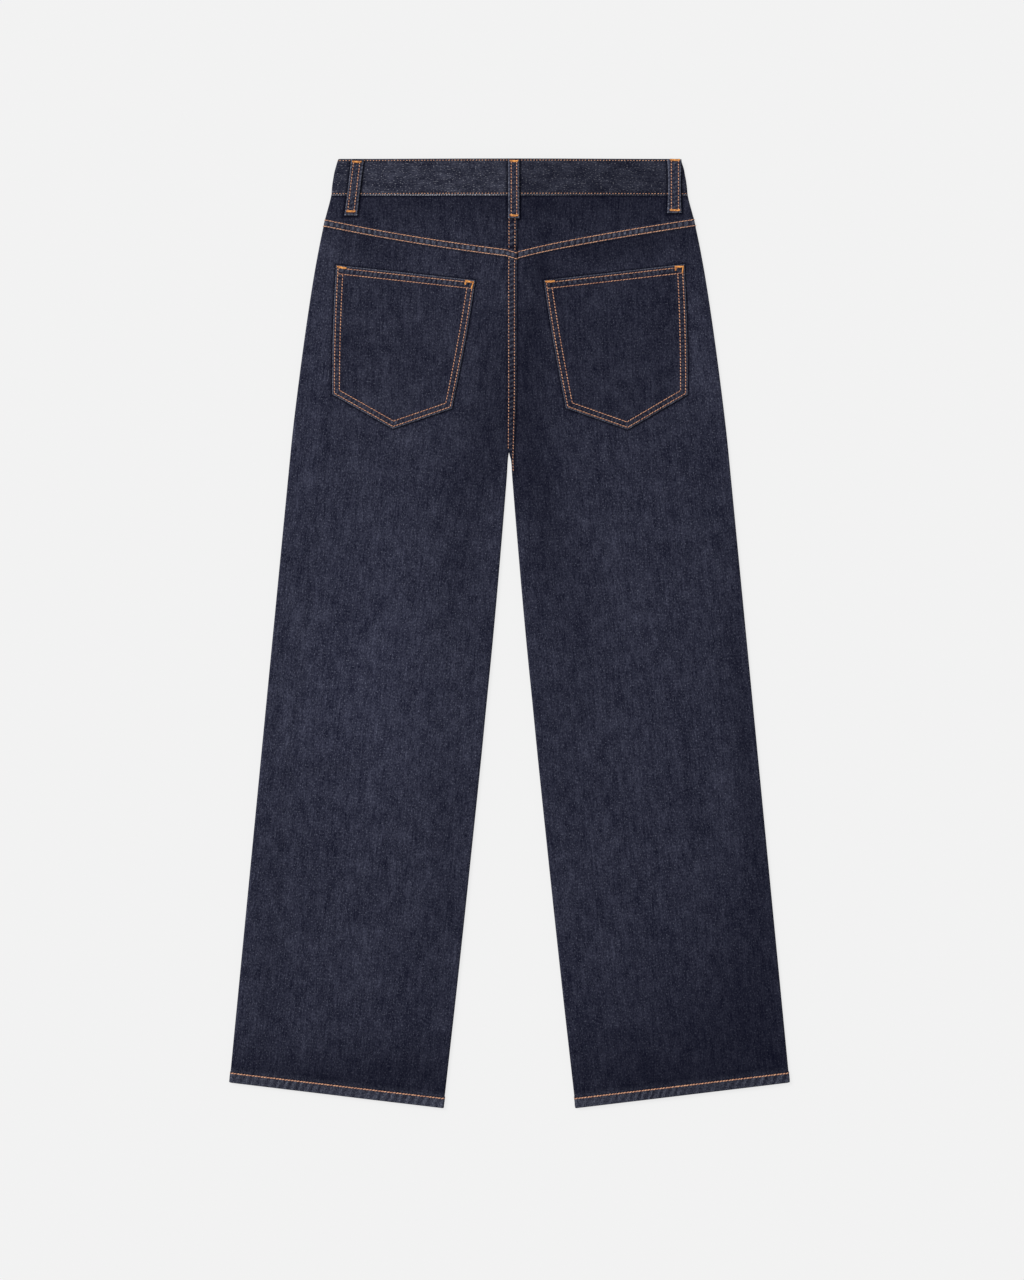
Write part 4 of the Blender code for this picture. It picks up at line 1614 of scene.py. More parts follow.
def seam_drop(half: Half, x: Array) -> Array:
    """Drop of the yoke's lower edge at an x: a straight line across, plus its bend.

    Args:
        half: Which half.
        x: Places across the garment.

    Returns:
        Drops of the edge.
    """
    seam = YOKE_SEAMS[half]
    share = np.clip(np.abs(x) / YOKE_REACH, 0.0, 1.0)
    return seam.inner + (seam.outer - seam.inner) * share + seam.bend(share)


def past_fell(half: Half, x: Array, drop: Array) -> Array:
    """Distance outside the felled yoke seam, on either side of it."""
    low = seam_drop(half, x)
    return np.maximum(low - FELL_WIDTH - drop, drop - low)


def past_lap(x: Array, drop: Array) -> Array:
    """Distance outside the centre back seam, taken as further on the side where it swells."""
    start, fold = lap_edges(drop)
    return np.maximum(start - x + FELL_CLEAR, x - fold) + FAR * (np.asarray(drop) > THIGH_DROP)


def past_loops(x: Array, drop: Array) -> Array:
    """Distance outside the belt loops of the back.

    Args:
        x: Places across the garment.
        drop: Drops below the waist edge.

    Returns:
        Distances, below 0 under a loop.
    """
    outside = []
    for loop in BACK_LOOPS:
        beside = np.abs(x - loop.middle(drop)) - loop.half_width(drop)
        outside.append(np.maximum(beside, drop - loop.drop_foot))
    return np.minimum.reduce(outside)


def row_height(x: Array, drop: Array) -> Array:
    """Height of the cloth that stitches of the centre back seam lie on."""
    return back_height(x, drop) + lap_rise(x, drop)


@dataclass
class CentreBackSeam:
    """The lapped seam down the centre back, from the waistband to just past the crotch."""

    drop_top: float = BAND_HEIGHT - 0.0003
    drop_end: float = 0.3430
    rows: int = 330
    columns: int = 26

    def build(self) -> Piece:
        """Make the strip that stands on the panels, with a fold on its right side.

        Returns:
            The piece.
        """
        drop = np.linspace(self.drop_top, self.drop_end, self.rows)[:, None]
        start, fold = lap_edges(drop)
        share = np.sin(np.linspace(0.0, math.pi / 2, self.columns))[None, :]
        x = start + (fold - start) * share
        rise = lap_rise(x, drop)
        rise[:, [0, -1]] = 0.0
        low = back_height(x, drop) + CLEAR
        # Painted highlight on the pucker crests, a paler fold that is partly worn dye and partly painted
        # highlight, and painted shade between the crests.
        crest = np.clip(lap_pucker(x, drop), 0.0, 1.0)
        fold_wear_and_highlight = bell(fold - x, 0.0008)
        wear = 0.22 * crest * np.sin(math.pi * share) + 0.20 * fold_wear_and_highlight
        shade = dye_and_painted_shading(-0.02, drop) - 0.12 - 0.18 * (1.0 - crest)
        gap = np.minimum(past_fell(Half.LEFT, x, drop), past_loops(x, drop))
        cloth = on_cloth(x, drop, -WARP_LEAN)
        outer = Skin(place(x, drop, low + rise + LIFT), cloth, wear, shade, gap, lap_rows(x, drop))
        return patch("centre_back_seam", outer, place(x, drop, low), (6, 5))

    def stitch(self, stitching: Stitching) -> None:
        """Sew its two rows. The left one ends at the crotch, and the right one goes on past it.

        Args:
            stitching: Takes the stitches.
        """
        for row, drop_end in ((2, 0.3400), (1, 0.3160)):
            drop = np.linspace(self.drop_top + 0.001, drop_end, 400)
            x = lap_at(drop)[row]
            stitching.row(place(x, drop, row_height(x, drop)), DOTTED)


@dataclass
class YokeSeamStrip:
    """The felled seam between a yoke and its leg, lapped over the leg."""

    half: Half
    steps: tuple[int, int, int, int, int] = (2, 12, 250, 4, 1)
    turned: int = 6        # columns of the outer roll that the seam goes round
    across: int = 22

    @property
    def pucker_start(self) -> float:
        """Where its puckers begin in their wave, so that both halves differ."""
        return 0.4 + self.half.value

    def wrap_at(self, from_edge: Array) -> Wrap:
        """The cloth under the seam, along lines at distances above its folded edge.

        Args:
            from_edge: Distances from the folded edge.

        Returns:
            The cloth there.
        """
        seam = YOKE_SEAMS[self.half]
        level = np.ones(len(from_edge))
        lines = Rows(seam, seam.inner - from_edge, seam.outer - from_edge, level, 0.0 * level)
        return Wrap.round_leg(self.half, lines, self.steps)

    def strip(self, from_edge: Array) -> tuple[Array, Array, Array, Array, Array]:
        """Lines of the seam.

        Args:
            from_edge: Distances above the folded edge.

        Returns:
            Points, outward directions, x, drop and distance along the cloth. On the left half the
            lines run on over the centre back seam to its fold, and on the right they start there.
        """
        wrap = self.wrap_at(from_edge)
        first = self.steps[0] + self.turned
        last = self.steps[0] + self.steps[1] + self.steps[2] + 1
        keep = slice(first, last)
        sign = self.half.value
        x, drop, z = sign * wrap.x[:, keep], wrap.drop[:, keep], wrap.z[:, keep]
        up = wrap.out[:, keep]
        across = sign * wrap.across[:, keep]
        fold = lap_edges(drop[:, -1:])[1]
        if self.half is Half.LEFT:
            more = np.linspace(0.0, 1.0, 12)[None, 1:]
            start_x = x[:, -1:]
            more_x = start_x + (fold - 0.0002 - start_x) * more
            more_drop = drop[:, -1:] + 0.32 * (more_x - start_x)
            x = np.concatenate((x, more_x), axis=1)
            drop = np.concatenate((drop, more_drop), axis=1)
            z = np.concatenate((z, back_height(more_x, more_drop)), axis=1)
            level = np.broadcast_to(UP, (*more_x.shape, 3))
            up = np.concatenate((up, level), axis=1)
            across = np.concatenate((across, across[:, -1:] + more_x - start_x), axis=1)
            z = z + lap_rise(x, drop)
        else:
            past = x[0] > float(fold[0, 0]) + 0.0004
            x, drop, z, up, across = (values[:, past] for values in (x, drop, z, up, across))
        return place(x, drop, z), up, x, drop, across

    def rise(self, from_edge: Array, across: Array) -> Array:
        """Height of the seam, thinning out where it turns under the outseam edge.

        Args:
            from_edge: Distances from the folded edge.
            across: Places along the seam.

        Returns:
            Heights over the cloth.
        """
        columns = np.arange(across.shape[1])[None, :]
        thin = 1.0 - fade(columns, 0.0, 5.0)
        return fell_rise(from_edge, across, self.pucker_start) * thin

    def build(self) -> Piece:
        """Make the strip.

        Returns:
            The piece.
        """
        from_edge = FELL_WIDTH * (1.0 - np.cos(np.linspace(0.0, math.pi / 2, self.across)))
        from_edge = np.unique(np.concatenate((from_edge, np.linspace(0.0010, FELL_WIDTH, 16))))
        base, up, x, drop, across = self.strip(from_edge)
        rise = self.rise(from_edge[:, None], across)
        rise[[0, -1], :] = 0.0
        pucker = fell_pucker(from_edge[:, None], across, self.pucker_start)
        # Painted highlight on the pucker crests between the rows, a paler fold that is partly worn dye and
        # partly painted highlight, and painted shade in the troughs.
        between = hump(from_edge, SEAM_EDGE, ROW_GAUGE)[:, None]
        uneven = 0.65 + 0.35 * np.sin(across / 0.0127 + 1.0) * np.sin(across / 0.0311)
        crest_highlights = between * (0.04 + 0.36 * np.clip(pucker, 0.0, 1.0) * uneven)
        wear = crest_highlights + 0.14 * bell(from_edge[:, None], 0.0009)
        shade = np.maximum(dye_and_painted_shading(x, drop), -0.25) + between * 0.38 * np.clip(pucker, -1.0, 0.0)
        row = row_tent(from_edge[:, None], SEAM_EDGE, ROW_GAUGE)
        cloth = on_cloth(across, drop, 0.0)
        outer = Skin(base + up * (rise + CLEAR + LIFT)[..., None], cloth, wear, shade, FAR, row)
        made = patch(f"yoke_seam_{self.half.label}", outer, base + up * CLEAR, (6, 3))
        return made

    def stitch(self, stitching: Stitching) -> None:
        """Sew its two rows.

        Args:
            stitching: Takes the stitches.
        """
        insets = np.array((SEAM_EDGE, SEAM_EDGE + ROW_GAUGE))
        base, up, _, _, across = self.strip(insets)
        rise = self.rise(insets[:, None], across)
        lines = base + up * rise[..., None]
        for line, direction in zip(lines, up):
            stitching.row(line, ROPE, direction)


# ------------------------------------------------------------------ panels


def hem_ropes(across: Array, above: Array) -> Array:
    """Ridges of the twisted hem, from -1 to 1: two uneven waves that lean, with lulls between.

    Args:
        across: Places across the leg.
        above: Distances above the end of the leg.

    Returns:
        The ridges.
    """
    lull = 0.70 + 0.30 * np.sin(across / 0.021 + 0.6)
    broad = uneven_wave(across - 0.45 * above, 0.0088, 1.3)
    wave = broad + 0.5 * uneven_wave(across - 0.25 * above, 0.0049, 0.2)
    return np.tanh(0.9 * wave) * lull


def hem_rise(across: Array, above: Array) -> Array:
    """Height of the hem over the leg.

    Args:
        across: Places across the leg.
        above: Distances above the end of the leg.

    Returns:
        The turned-up cloth, which stands out up to its top edge. The row of stitches sinks in,
        and the hem twists into ridges that lean the same way but are never quite alike.
    """
    raised = 0.00055 * fade(above, HEM_HEIGHT, HEM_HEIGHT + 0.0014)
    groove = -0.00028 * bell(above - HEM_ROW, 0.0007)
    inside = hump(above, 0.0, HEM_ROW) ** 0.7
    return raised + groove + 0.00030 * hem_ropes(across, above) * inside


def within_hem(above: Array) -> Array:
    """1 below the hem's row of stitches and 0 above it."""
    return fade(above, HEM_ROW - 0.0006, HEM_ROW + 0.0004)


def hem_wear_and_highlight(across: Array, above: Array) -> Array:
    """Paler places of the hem: painted highlight on its ridges, and its end and a faint line over its row of
    stitches, partly worn dye and partly painted highlight.

    Args:
        across: Places across the leg.
        above: Distances above the end of the leg.

    Returns:
        Worn dye and painted highlight at each place.
    """
    ridges = 0.5 + 0.5 * hem_ropes(across, above)
    line = (0.03 + 0.07 * ridges) * bell(above - HEM_HEIGHT - 0.0018, 0.0016)
    return within_hem(above) * (0.035 + 0.210 * ridges**1.3) + line + 0.05 * bell(above, 0.0011)


def hem_shade(across: Array, above: Array) -> Array:
    """Painted light and shade of the hem: paler on its ridges than in its hollows, and painted shadow in the
    cloth just above it.

    Args:
        across: Places across the leg.
        above: Distances above the end of the leg.

    Returns:
        Shade at each place.
    """
    beside = bell(above - HEM_HEIGHT - 0.0062, 0.0030)
    return (0.16 + 0.16 * hem_ropes(across, above)) * within_hem(above) - 0.08 * beside


def leg_rows(start: float, counts: tuple[int, int, int]) -> Array:
    """Rows of a leg panel.

    Args:
        start: Drop of the first.
        counts: How many there are down to the thigh, down to the hem and in the hem.

    Returns:
        Their drops at the inner edge, closest together in the hem.
    """
    stops = (start, THIGH_DROP, LENGTH - HEM_HEIGHT - HEM_NEAR, LENGTH - HEM_WALL / 2)
    hip, leg, hem = (np.linspace(*span) for span in zip(stops, stops[1:], counts))
    return np.concatenate((hip[:-1], leg[:-1], hem))


def close_end(points: Array, out: Array, wall: float, steps: int = 6) -> Array:
    """Rows that turn the end of a leg from its outer side to its inner side.

    Args:
        points: (columns, 3) the last row on the outer side.
        out: (columns, 3) its outward direction.
        wall: Thickness of the cloth there.
        steps: Rows to make.

    Returns:
        (steps, columns, 3) points of a half circle that bulges towards the end of the leg.
    """
    angle = np.linspace(0.0, math.pi, steps + 1)[1:, None, None]
    inward = -out[None] * wall / 2 * (1.0 - np.cos(angle))
    down = np.array((0.0, -1.0, 0.0)) * wall / 2 * np.sin(angle)
    return points[None] + inward + down


def hemmed_leg(name: str, outer: Skin, inner: Skin, above: Array, out: Array) -> Piece:
    """Close a leg panel, turning its outer side in at the hem.

    Args:
        name: The piece's name.
        outer: The outer side, down to the end of the leg.
        inner: The inner side at the same rows and columns, of which a part is kept.
        above: (rows, 1) distance of the rows above the end of the leg.
        out: (columns, 3) outward direction of the last row.

    Returns:
        The piece. Its inner side keeps the rows beside the top of the hem.
    """
    count, wide = outer.wear.shape
    end = close_end(outer.points[-1], out, HEM_WALL)
    everything = np.concatenate((np.arange(count), np.full(len(end), count - 1)))
    closed = outer.pick(everything, np.arange(wide))
    closed.points = np.concatenate((outer.points, end))
    hem_start = int(np.argmax(above[:, 0] < HEM_HEIGHT))
    rows = coarse_picks(count - 3, COARSE, (hem_start - 1, hem_start))
    columns = coarse_picks(wide)
    inner = inner.pick(rows, columns)
    rows = np.append(rows[:-1], len(everything) - 1)
    return shell(name, closed, inner, rows, columns, (DENIM.material(), DENIM_REVERSE.material()))


@dataclass
class BackLeg:
    """The back panel of a leg, from the yoke seam to the hem."""

    half: Half
    steps: tuple[int, int, int, int, int] = (2, 10, 136, 10, 2)
    row_counts: tuple[int, int, int] = (124, 190, 26)

    def build(self) -> Piece:
        """Make the panel as a shell that is closed by a fold at the hem.

        Returns:
            The piece.
        """
        lines = Rows.down_leg(self.half, leg_rows(YOKE_SEAMS[self.half].inner, self.row_counts))
        wrap = Wrap.round_leg(self.half, lines, self.steps)
        above = (LENGTH - lines.inner)[:, None]
        along, x = self.half.value * wrap.across, self.half.value * wrap.x
        rise = np.where(wrap.out_z > 0.0, hem_rise(along, above), 0.0)
        wear = hem_wear_and_highlight(along, above) + EDGE_WEAR_AND_HIGHLIGHT * (1.0 - np.abs(wrap.out_z))
        # Painted shadow beside the yoke seam, the centre back seam and the pocket, and painted shade along
        # the hem's row.
        beside_fell = past_fell(self.half, x, wrap.drop) + FELL_CLEAR
        gap = (beside_fell, past_lap(x, wrap.drop), BackPocket(self.half).outside(x, wrap.drop))
        gap = np.where(wrap.out_z > FACING_UP, np.minimum.reduce(gap), FAR)
        row = np.where(wrap.out_z > 0.0, above - HEM_ROW, FAR)
        outer = wrap.skin(rise, WARP_LEAN, wear=wear, gap=gap, row=row)
        outer.shade = outer.shade + hem_shade(along, above)
        inner = wrap.skin(-np.where(above < HEM_HEIGHT, HEM_WALL, CLOTH), WARP_LEAN)
        made = hemmed_leg(f"cloth_back_leg_{self.half.label}", outer, inner, above, wrap.out[-1])
        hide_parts(f"back_leg_{self.half.label}")
        return made

    def stitch(self, stitching: Stitching) -> None:
        """Sew the row of the hem, from edge to edge.

        Args:
            stitching: Takes the stitches.
        """
        line = Rows.down_leg(self.half, np.array([LENGTH - HEM_ROW]))
        wrap = Wrap.round_leg(self.half, line, self.steps)
        shown = slice(self.steps[0] + 4, wrap.x.shape[1] - self.steps[4] - 4)
        rise = hem_rise(self.half.value * wrap.across, np.array([[HEM_ROW]]))
        stitching.row(wrap.points(rise)[0, shown], HEM_THREAD, wrap.out[0, shown])


@dataclass
class Yoke:
    """The yoke of one half, between the waistband and the leg."""

    half: Half
    steps: tuple[int, int, int, int, int] = (2, 10, 140, 4, 1)
    row_count: int = 49

    def build(self) -> Piece:
        """Make the yoke.

        Returns:
            The piece.
        """
        lines = Rows.down_yoke(self.half, np.linspace(0.0, 1.0, self.row_count))
        wrap = Wrap.round_leg(self.half, lines, self.steps)
        x = self.half.value * wrap.x
        # Painted shadow beside the seams, the belt loops and under the waistband.
        beside_fell = past_fell(self.half, x, wrap.drop) + FELL_CLEAR
        beside_loops = past_loops(x, wrap.drop) - LOOP_CLOSE
        gap = (beside_fell, past_lap(x, wrap.drop), beside_loops, wrap.drop - BAND_HEIGHT)
        gap = np.where(wrap.out_z > FACING_UP, np.minimum.reduce(gap), FAR)
        outer = wrap.skin(0.0, 0.0, wear=EDGE_WEAR_AND_HIGHLIGHT * (1.0 - np.abs(wrap.out_z)), gap=gap)
        made = panel(f"cloth_yoke_{self.half.label}", outer, wrap.skin(-CLOTH, 0.0))
        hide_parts(f"yoke_{self.half.label}")
        return made


@dataclass
class FrontLeg:
    """The front panel of a leg, beneath the back one, with a scooped pocket at its top."""

    half: Half
    columns: int = 81
    scoop_rows: int = 60
    row_counts: tuple[int, int, int] = (60, 110, 20)
    scoop_x: float = 0.095
    scoop_depth: float = 0.075
    scoop_end: float = 0.150      # drop from which the rows run level with those of the back
    offset: float = 0.0019        # how far inside the inseam its edge lies as the back rolls

    def limits(self, lines: Rows) -> tuple[Array, Array]:
        """The x of both edges of the panel on rows, between the lips of the back panel.

        Args:
            lines: The rows.

        Returns:
            The x of the inner edge and of the outer one.
        """
        x_in = edge(INSEAM, lines.inner)
        radius = back_height(self.half.value * (x_in + MIN_ROLL), lines.inner) / 2
        rolled = radius + LIP_IN + SEAM_GAP
        offset = np.where(
            lines.roll > 0.75,
            self.offset + (rolled - self.offset) * (lines.roll - 0.75) / 0.25,
            np.interp(lines.roll, (0.5, 0.75), (0.0, self.offset)),
        )
        return x_in + offset, edge(OUTSEAM, lines.outer) - LIP_OUT - SEAM_GAP

    def scoop(self, steps: Array) -> tuple[Array, Array, Array, Array]:
        """Rows beside the pocket's scoop, a quarter of an ellipse: their x and drop at both ends.

        Args:
            steps: Shares of the way down the scoop.

        Returns:
            The x at the inner and outer end, and the drop at both.
        """
        angle = math.pi / 2 * steps
        drop_out = PANEL_TOP_DROP + self.scoop_depth * np.sin(angle)
        side_x = edge(OUTSEAM, drop_out) - LIP_OUT - SEAM_GAP
        x_out = side_x - (side_x - self.scoop_x) * np.cos(angle)
        drop_in = PANEL_TOP_DROP + (self.scoop_end - PANEL_TOP_DROP) * steps * 6.0 / 7.0
        return np.full(len(steps), SEAM_GAP / 2), x_out, drop_in, drop_out

    def grid(self) -> tuple[Array, Array, Array]:
        """The x and drop of all the panel's points, and the height of its rows above the hem.

        Returns:
            The x and the drop, each (rows, columns), and the height, (rows, 1).
        """
        share = np.linspace(0.0, 1.0, self.columns)[None, :]
        x_in, x_out, drop_in, drop_out = self.scoop(np.linspace(0.0, 1.0, self.scoop_rows))
        scoop_x = x_in[:, None] + (x_out - x_in)[:, None] * share
        scoop_drop = drop_in[:, None] + (drop_out - drop_in)[:, None] * share
        inner = leg_rows(self.scoop_end, self.row_counts)
        lines = Rows.down_leg(self.half, inner)
        low, high = self.limits(lines)
        x = low[:, None] + (high - low)[:, None] * share
        inseam = edge(INSEAM, inner)
        wide = (x - inseam[:, None]) / (edge(OUTSEAM, lines.outer) - inseam)[:, None]
        above = np.concatenate((np.full(self.scoop_rows, 1.0), LENGTH - inner))
        drop = np.concatenate((scoop_drop, lines.drop(wide)))
        return np.concatenate((scoop_x, x)), drop, above[:, None]

    def build(self) -> Piece:
        """Make the panel. Its outer side faces the surface that the garment lies on.

        Returns:
            The piece.
        """
        x, drop, above = self.grid()
        sign = self.half.value
        pressed = 0.45 * np.maximum(hem_rise(sign * x, above), 0.0) * (above < HEM_HEIGHT)
        z = front_height(x, drop) - np.minimum(pressed, FRONT_CLEAR * 0.8)
        cloth = on_cloth(sign * x, drop, sign * WARP_LEAN)
        shade = -0.05 + hem_shade(sign * x, above)
        outer = Skin(place(sign * x, drop, z), cloth, hem_wear_and_highlight(sign * x, above), shade, row=above - HEM_ROW)
        level = front_height(x, drop) + np.where(above < HEM_HEIGHT, HEM_WALL, CLOTH)
        inner = Skin(place(sign * x, drop, level), cloth, shade=shade)
        down = np.broadcast_to(DOWN, outer.points[-1].shape)
        made = hemmed_leg(f"cloth_front_leg_{self.half.label}", outer, inner, above, down)
        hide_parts(f"front_leg_{self.half.label}")
        return made

    def stitch(self, stitching: Stitching) -> None:
        """Sew the two rows of the scooped pocket and the row of the hem, on the underside.

        Args:
            stitching: Takes the stitches.
        """
        _, x_out, _, drop_out = self.scoop(np.linspace(0.02, 0.98, 60))
        run = np.hypot(np.gradient(x_out), np.gradient(drop_out))
        slope, fall = np.gradient(drop_out) / run, np.gradient(x_out) / run
        for inset in (SEAM_EDGE, SEAM_EDGE + ROW_GAUGE):
            stitching.beneath(x_out - inset * slope, drop_out + inset * fall, self.half.value)
        lines = Rows.down_leg(self.half, np.array([LENGTH - HEM_ROW]))
        low, high = self.limits(lines)
        share = np.linspace(0.004, 0.996, 120)
        x = low[0] + (high[0] - low[0]) * share
        drop = lines.inner[0] + (lines.outer[0] - lines.inner[0]) * share
        stitching.beneath(x, drop, self.half.value)


@dataclass
class PocketFacing:
    """The cloth that shows behind a scooped front pocket."""

    half: Half
    rows: int = 41
    columns: int = 57
    x_in: float = 0.080
    depth: float = 0.090
    inset: float = 0.0050

    def build(self) -> Piece:
        """Make the facing as a plain sheet that lies on the front panel.

        Returns:
            The piece.
        """
        drop = np.linspace(PANEL_TOP_DROP, PANEL_TOP_DROP + self.depth, self.rows)[:, None]
        share = np.linspace(0.0, 1.0, self.columns)[None, :]
        x = self.x_in + (edge(OUTSEAM, drop) - self.inset - self.x_in) * share
        sign = self.half.value
        z = front_height(x, drop) + CLOTH + SEAM_GAP / 2
        cloth = on_cloth(sign * x, drop, 0.0)
        outer = Skin(place(sign * x, drop, z), cloth, shade=-0.05)
        inner = Skin(place(sign * x, drop, z + CLOTH * 0.9), cloth)
        made = panel(f"cloth_pocket_facing_{self.half.label}", outer, inner)
        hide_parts(f"pocket_facing_{self.half.label}")
        return made


# ------------------------------------------------------------------ waistband and loops


@dataclass
class Waistband:
    """One folded strip round the waist, whose ends lap at the centre front."""

    face_rows: int = 34
    round_steps: int = 4
    front_steps: int = 96
    arc_steps: int = 8
    back_steps: int = 420
    top_row: float = 0.0015      # drop of the upper row of stitches
    low_row: float = 0.0376
    above: float = 0.0004        # how far its top fold stands above the waist line
    reach: float = 0.0007        # how far its folds round off its edges
    groove: float = 0.0007       # reach of the groove at each row

    def path(self, drop: Array) -> tuple[Array, Array, Array, Array]:
        """The band's outer face at drops, from its outer end round to its inner end.

        Args:
            drop: (rings, 1) drops below the waist edge.

        Returns:
            x, z and the outward direction: the front left, a half circle round the left edge,
            the back, a half circle round the right edge, and the front right, which climbs over
            the outer end.
        """
        half_width = edge(OUTSEAM, drop)
        radius = EDGE_HEIGHT / 2
        turn = half_width - radius
        angle = np.linspace(-math.pi / 2, math.pi / 2, self.arc_steps + 1)[None, :]
        share = np.linspace(0.0, 1.0, self.front_steps + 1)[None, :]
        left = BAND_OVERLAP + (-turn - BAND_OVERLAP) * share[:, :-1]
        right = turn + (-BAND_OVERLAP - turn) * share[:, 1:]
        back = turn * np.linspace(-1.0, 1.0, self.back_steps + 1)[None, 1:-1]
        climb = (BAND_WALL + SEAM_GAP) * fade(right, *BAND_STEP)
        far, level = angle[:, ::-1], 0.0 * turn
        arc_z = radius + radius * np.sin(angle) + level
        flat = (0.0 * left, 0.0 * back, 0.0 * right)
        x = (left, -turn - radius * np.cos(angle), back, turn + radius * np.cos(far), right)
        front = (front_height(left, 0.0), front_height(right, 0.0) + climb)
        z = (front[0], arc_z, band_back_height(back), arc_z[:, ::-1], front[1])
        out_x = (flat[0], -np.cos(angle) + level, flat[1], np.cos(far) + level, flat[2])
        out_z = (flat[0] - 1.0, np.sin(angle) + level, flat[1] + 1.0, np.sin(far) + level, flat[2] - 1.0)
        return tuple(np.concatenate(parts, axis=1) for parts in (x, z, out_x, out_z))

    def rise(self, x: Array, drop: Array, out_z: Array) -> Array:
        """Relief of the band.

        Args:
            x: Places across the garment.
            drop: Drops below the waist edge.
            out_z: How far the cloth faces up.

        Returns:
            A groove at each row of stitches, small leaning puckers beside them, fuller cloth
            between, and two long soft creases. The underside has a quarter of all this.
        """
        grooves = bell(drop - self.top_row, self.groove) + bell(drop - self.low_row, self.groove)
        low_puckers = uneven_wave(x + 0.4 * drop, 0.0068, 0.3) * bell(drop - self.low_row + 0.0035, 0.0028)
        top_puckers = uneven_wave(x - 0.3 * drop, 0.0074, 1.9) * bell(drop - self.top_row - 0.0030, 0.0025)
        puckers = low_puckers + top_puckers
        full = hump(drop, 0.0, BAND_HEIGHT) ** 0.5
        creases = bell(drop - 0.021 - 0.006 * np.sin(x / 0.05), 0.0035) * np.sin(x / 0.045 + 0.5)
        creases += bell(drop - 0.012 + 0.004 * np.sin(x / 0.07), 0.0040) * np.sin(x / 0.031 + 2.0)
        high = 0.00030 * full - 0.00020 * grooves + 0.00010 * puckers + 0.00016 * creases
        return high * np.where(out_z < 0.0, -0.25 * out_z, 1.0)

    def section(self) -> tuple[Array, Array]:
        """Drops and depths of the band's rings: its face, lower fold, inner side and top fold.

        Returns:
            (rings, 1) drops, and depths below the outer face.
        """
        face = np.linspace(self.reach, BAND_HEIGHT - self.reach, self.face_rows)
        angle = np.linspace(0.0, math.pi, self.round_steps + 2)[1:-1]
        low = BAND_HEIGHT - self.reach + self.reach * np.sin(angle)
        back = np.linspace(BAND_HEIGHT - self.reach, self.reach, 6)
        high = self.reach - (self.reach + self.above) * np.sin(angle)
        deep = BAND_WALL / 2 * (1.0 - np.cos(angle))
        drop = np.concatenate((face, low, back, high))
        depth = np.concatenate((0.0 * face, deep, 0.0 * back + BAND_WALL, deep[::-1]))
        return drop[:, None], depth[:, None]

    def wear(self, around: Array, drop: Array, depth: Array) -> Array:
        """Wear of the band: dashes along its lower fold, strongest on the wearer's left half and
        at one place on the right, and a faint line along its top.

        Args:
            around: Places along the band.
            drop: Drops below the waist edge.
            depth: Depths below its outer face.

        Returns:
            Wear at each place.
        """
        low_edge = bell(drop - BAND_HEIGHT + 0.0001, 0.00065) * (depth < BAND_WALL / 2)
        dashes = np.clip(0.10 + 1.2 * uneven_wave(around + 0.5 * drop, 0.0027, 0.2), 0.0, 1.0)
        left_end = 1.0 - 0.6 * fade(around, -0.160, -0.145)
        strength = 0.42 + 0.58 * fade(around, -0.036, 0.004) * left_end + 0.5 * bell(around - 0.192, 0.006)
        return 1.85 * low_edge * (0.12 + 0.88 * dashes) * strength + 0.05 * bell(drop, 0.0010)

    def shade(self, around: Array, drop: Array) -> Array:
        """Painted light and shade of the band: paler on the wearer's left half, towards the light, and deeper
        on the right one.
        """
        pale = 0.15 * bell(around + 0.150, 0.090) * (0.6 + 0.5 * drop / BAND_HEIGHT)
        return pale - 0.05 - 0.28 * (1.0 - fade(around, -0.010, 0.012))

    def build(self) -> Piece:
        """Make the band: a closed ring carried round the waist, with a cap at both ends.

        Returns:
            The piece.
        """
        drop, depth = self.section()
        x, z, out_x, out_z = self.path(drop)
        lift = np.where(depth == 0.0, self.rise(x, drop, out_z), 0.0) - depth
        points = place(x + out_x * lift, drop, z + out_z * lift).reshape(-1, 3)
        walked = np.hypot(np.diff(x, axis=1), np.diff(z, axis=1)).cumsum(axis=1)
        walked = np.concatenate((np.zeros((len(x), 1)), walked), axis=1)
        middle = self.front_steps + self.arc_steps + self.back_steps // 2 + 1
        around = walked - walked[:, middle:middle + 1] + x[:, middle:middle + 1]
        cloth = np.stack((-drop + 0.0 * x, around), axis=-1).reshape(-1, 2)
        # The band takes painted shadow beside the belt loops and painted shade along its rows.
        masks = {
            "wear": self.wear(around, drop, depth),
            "shade": self.shade(around, drop),
            "gap": np.where(out_z > FACING_UP, past_loops(x, drop) - LOOP_CLOSE, FAR),
            "row": row_tent(drop, self.top_row, self.low_row - self.top_row) + 0.0 * x,
        }
        index = np.arange(x.size).reshape(x.shape)
        walls = grid_faces(np.concatenate((index, index[:1])))
        caps = [self.cap(index[:, 0]), self.cap(index[:, -1])[:, ::-1]]
        faces = outward(points, [walls, np.concatenate(caps)])
        made = add_mesh("cloth_waistband", points, faces, (BAND_DENIM.material(),), cloth, masks)
        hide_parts("waistband")
        return made

    def cap(self, ring: Array) -> Array:
        """Quads across one end of the ring, between its face and its inner side."""
        left, right = ring[:len(ring) // 2], ring[::-1][:len(ring) // 2]
        return np.stack((left[:-1], left[1:], right[1:], right[:-1]), axis=-1)

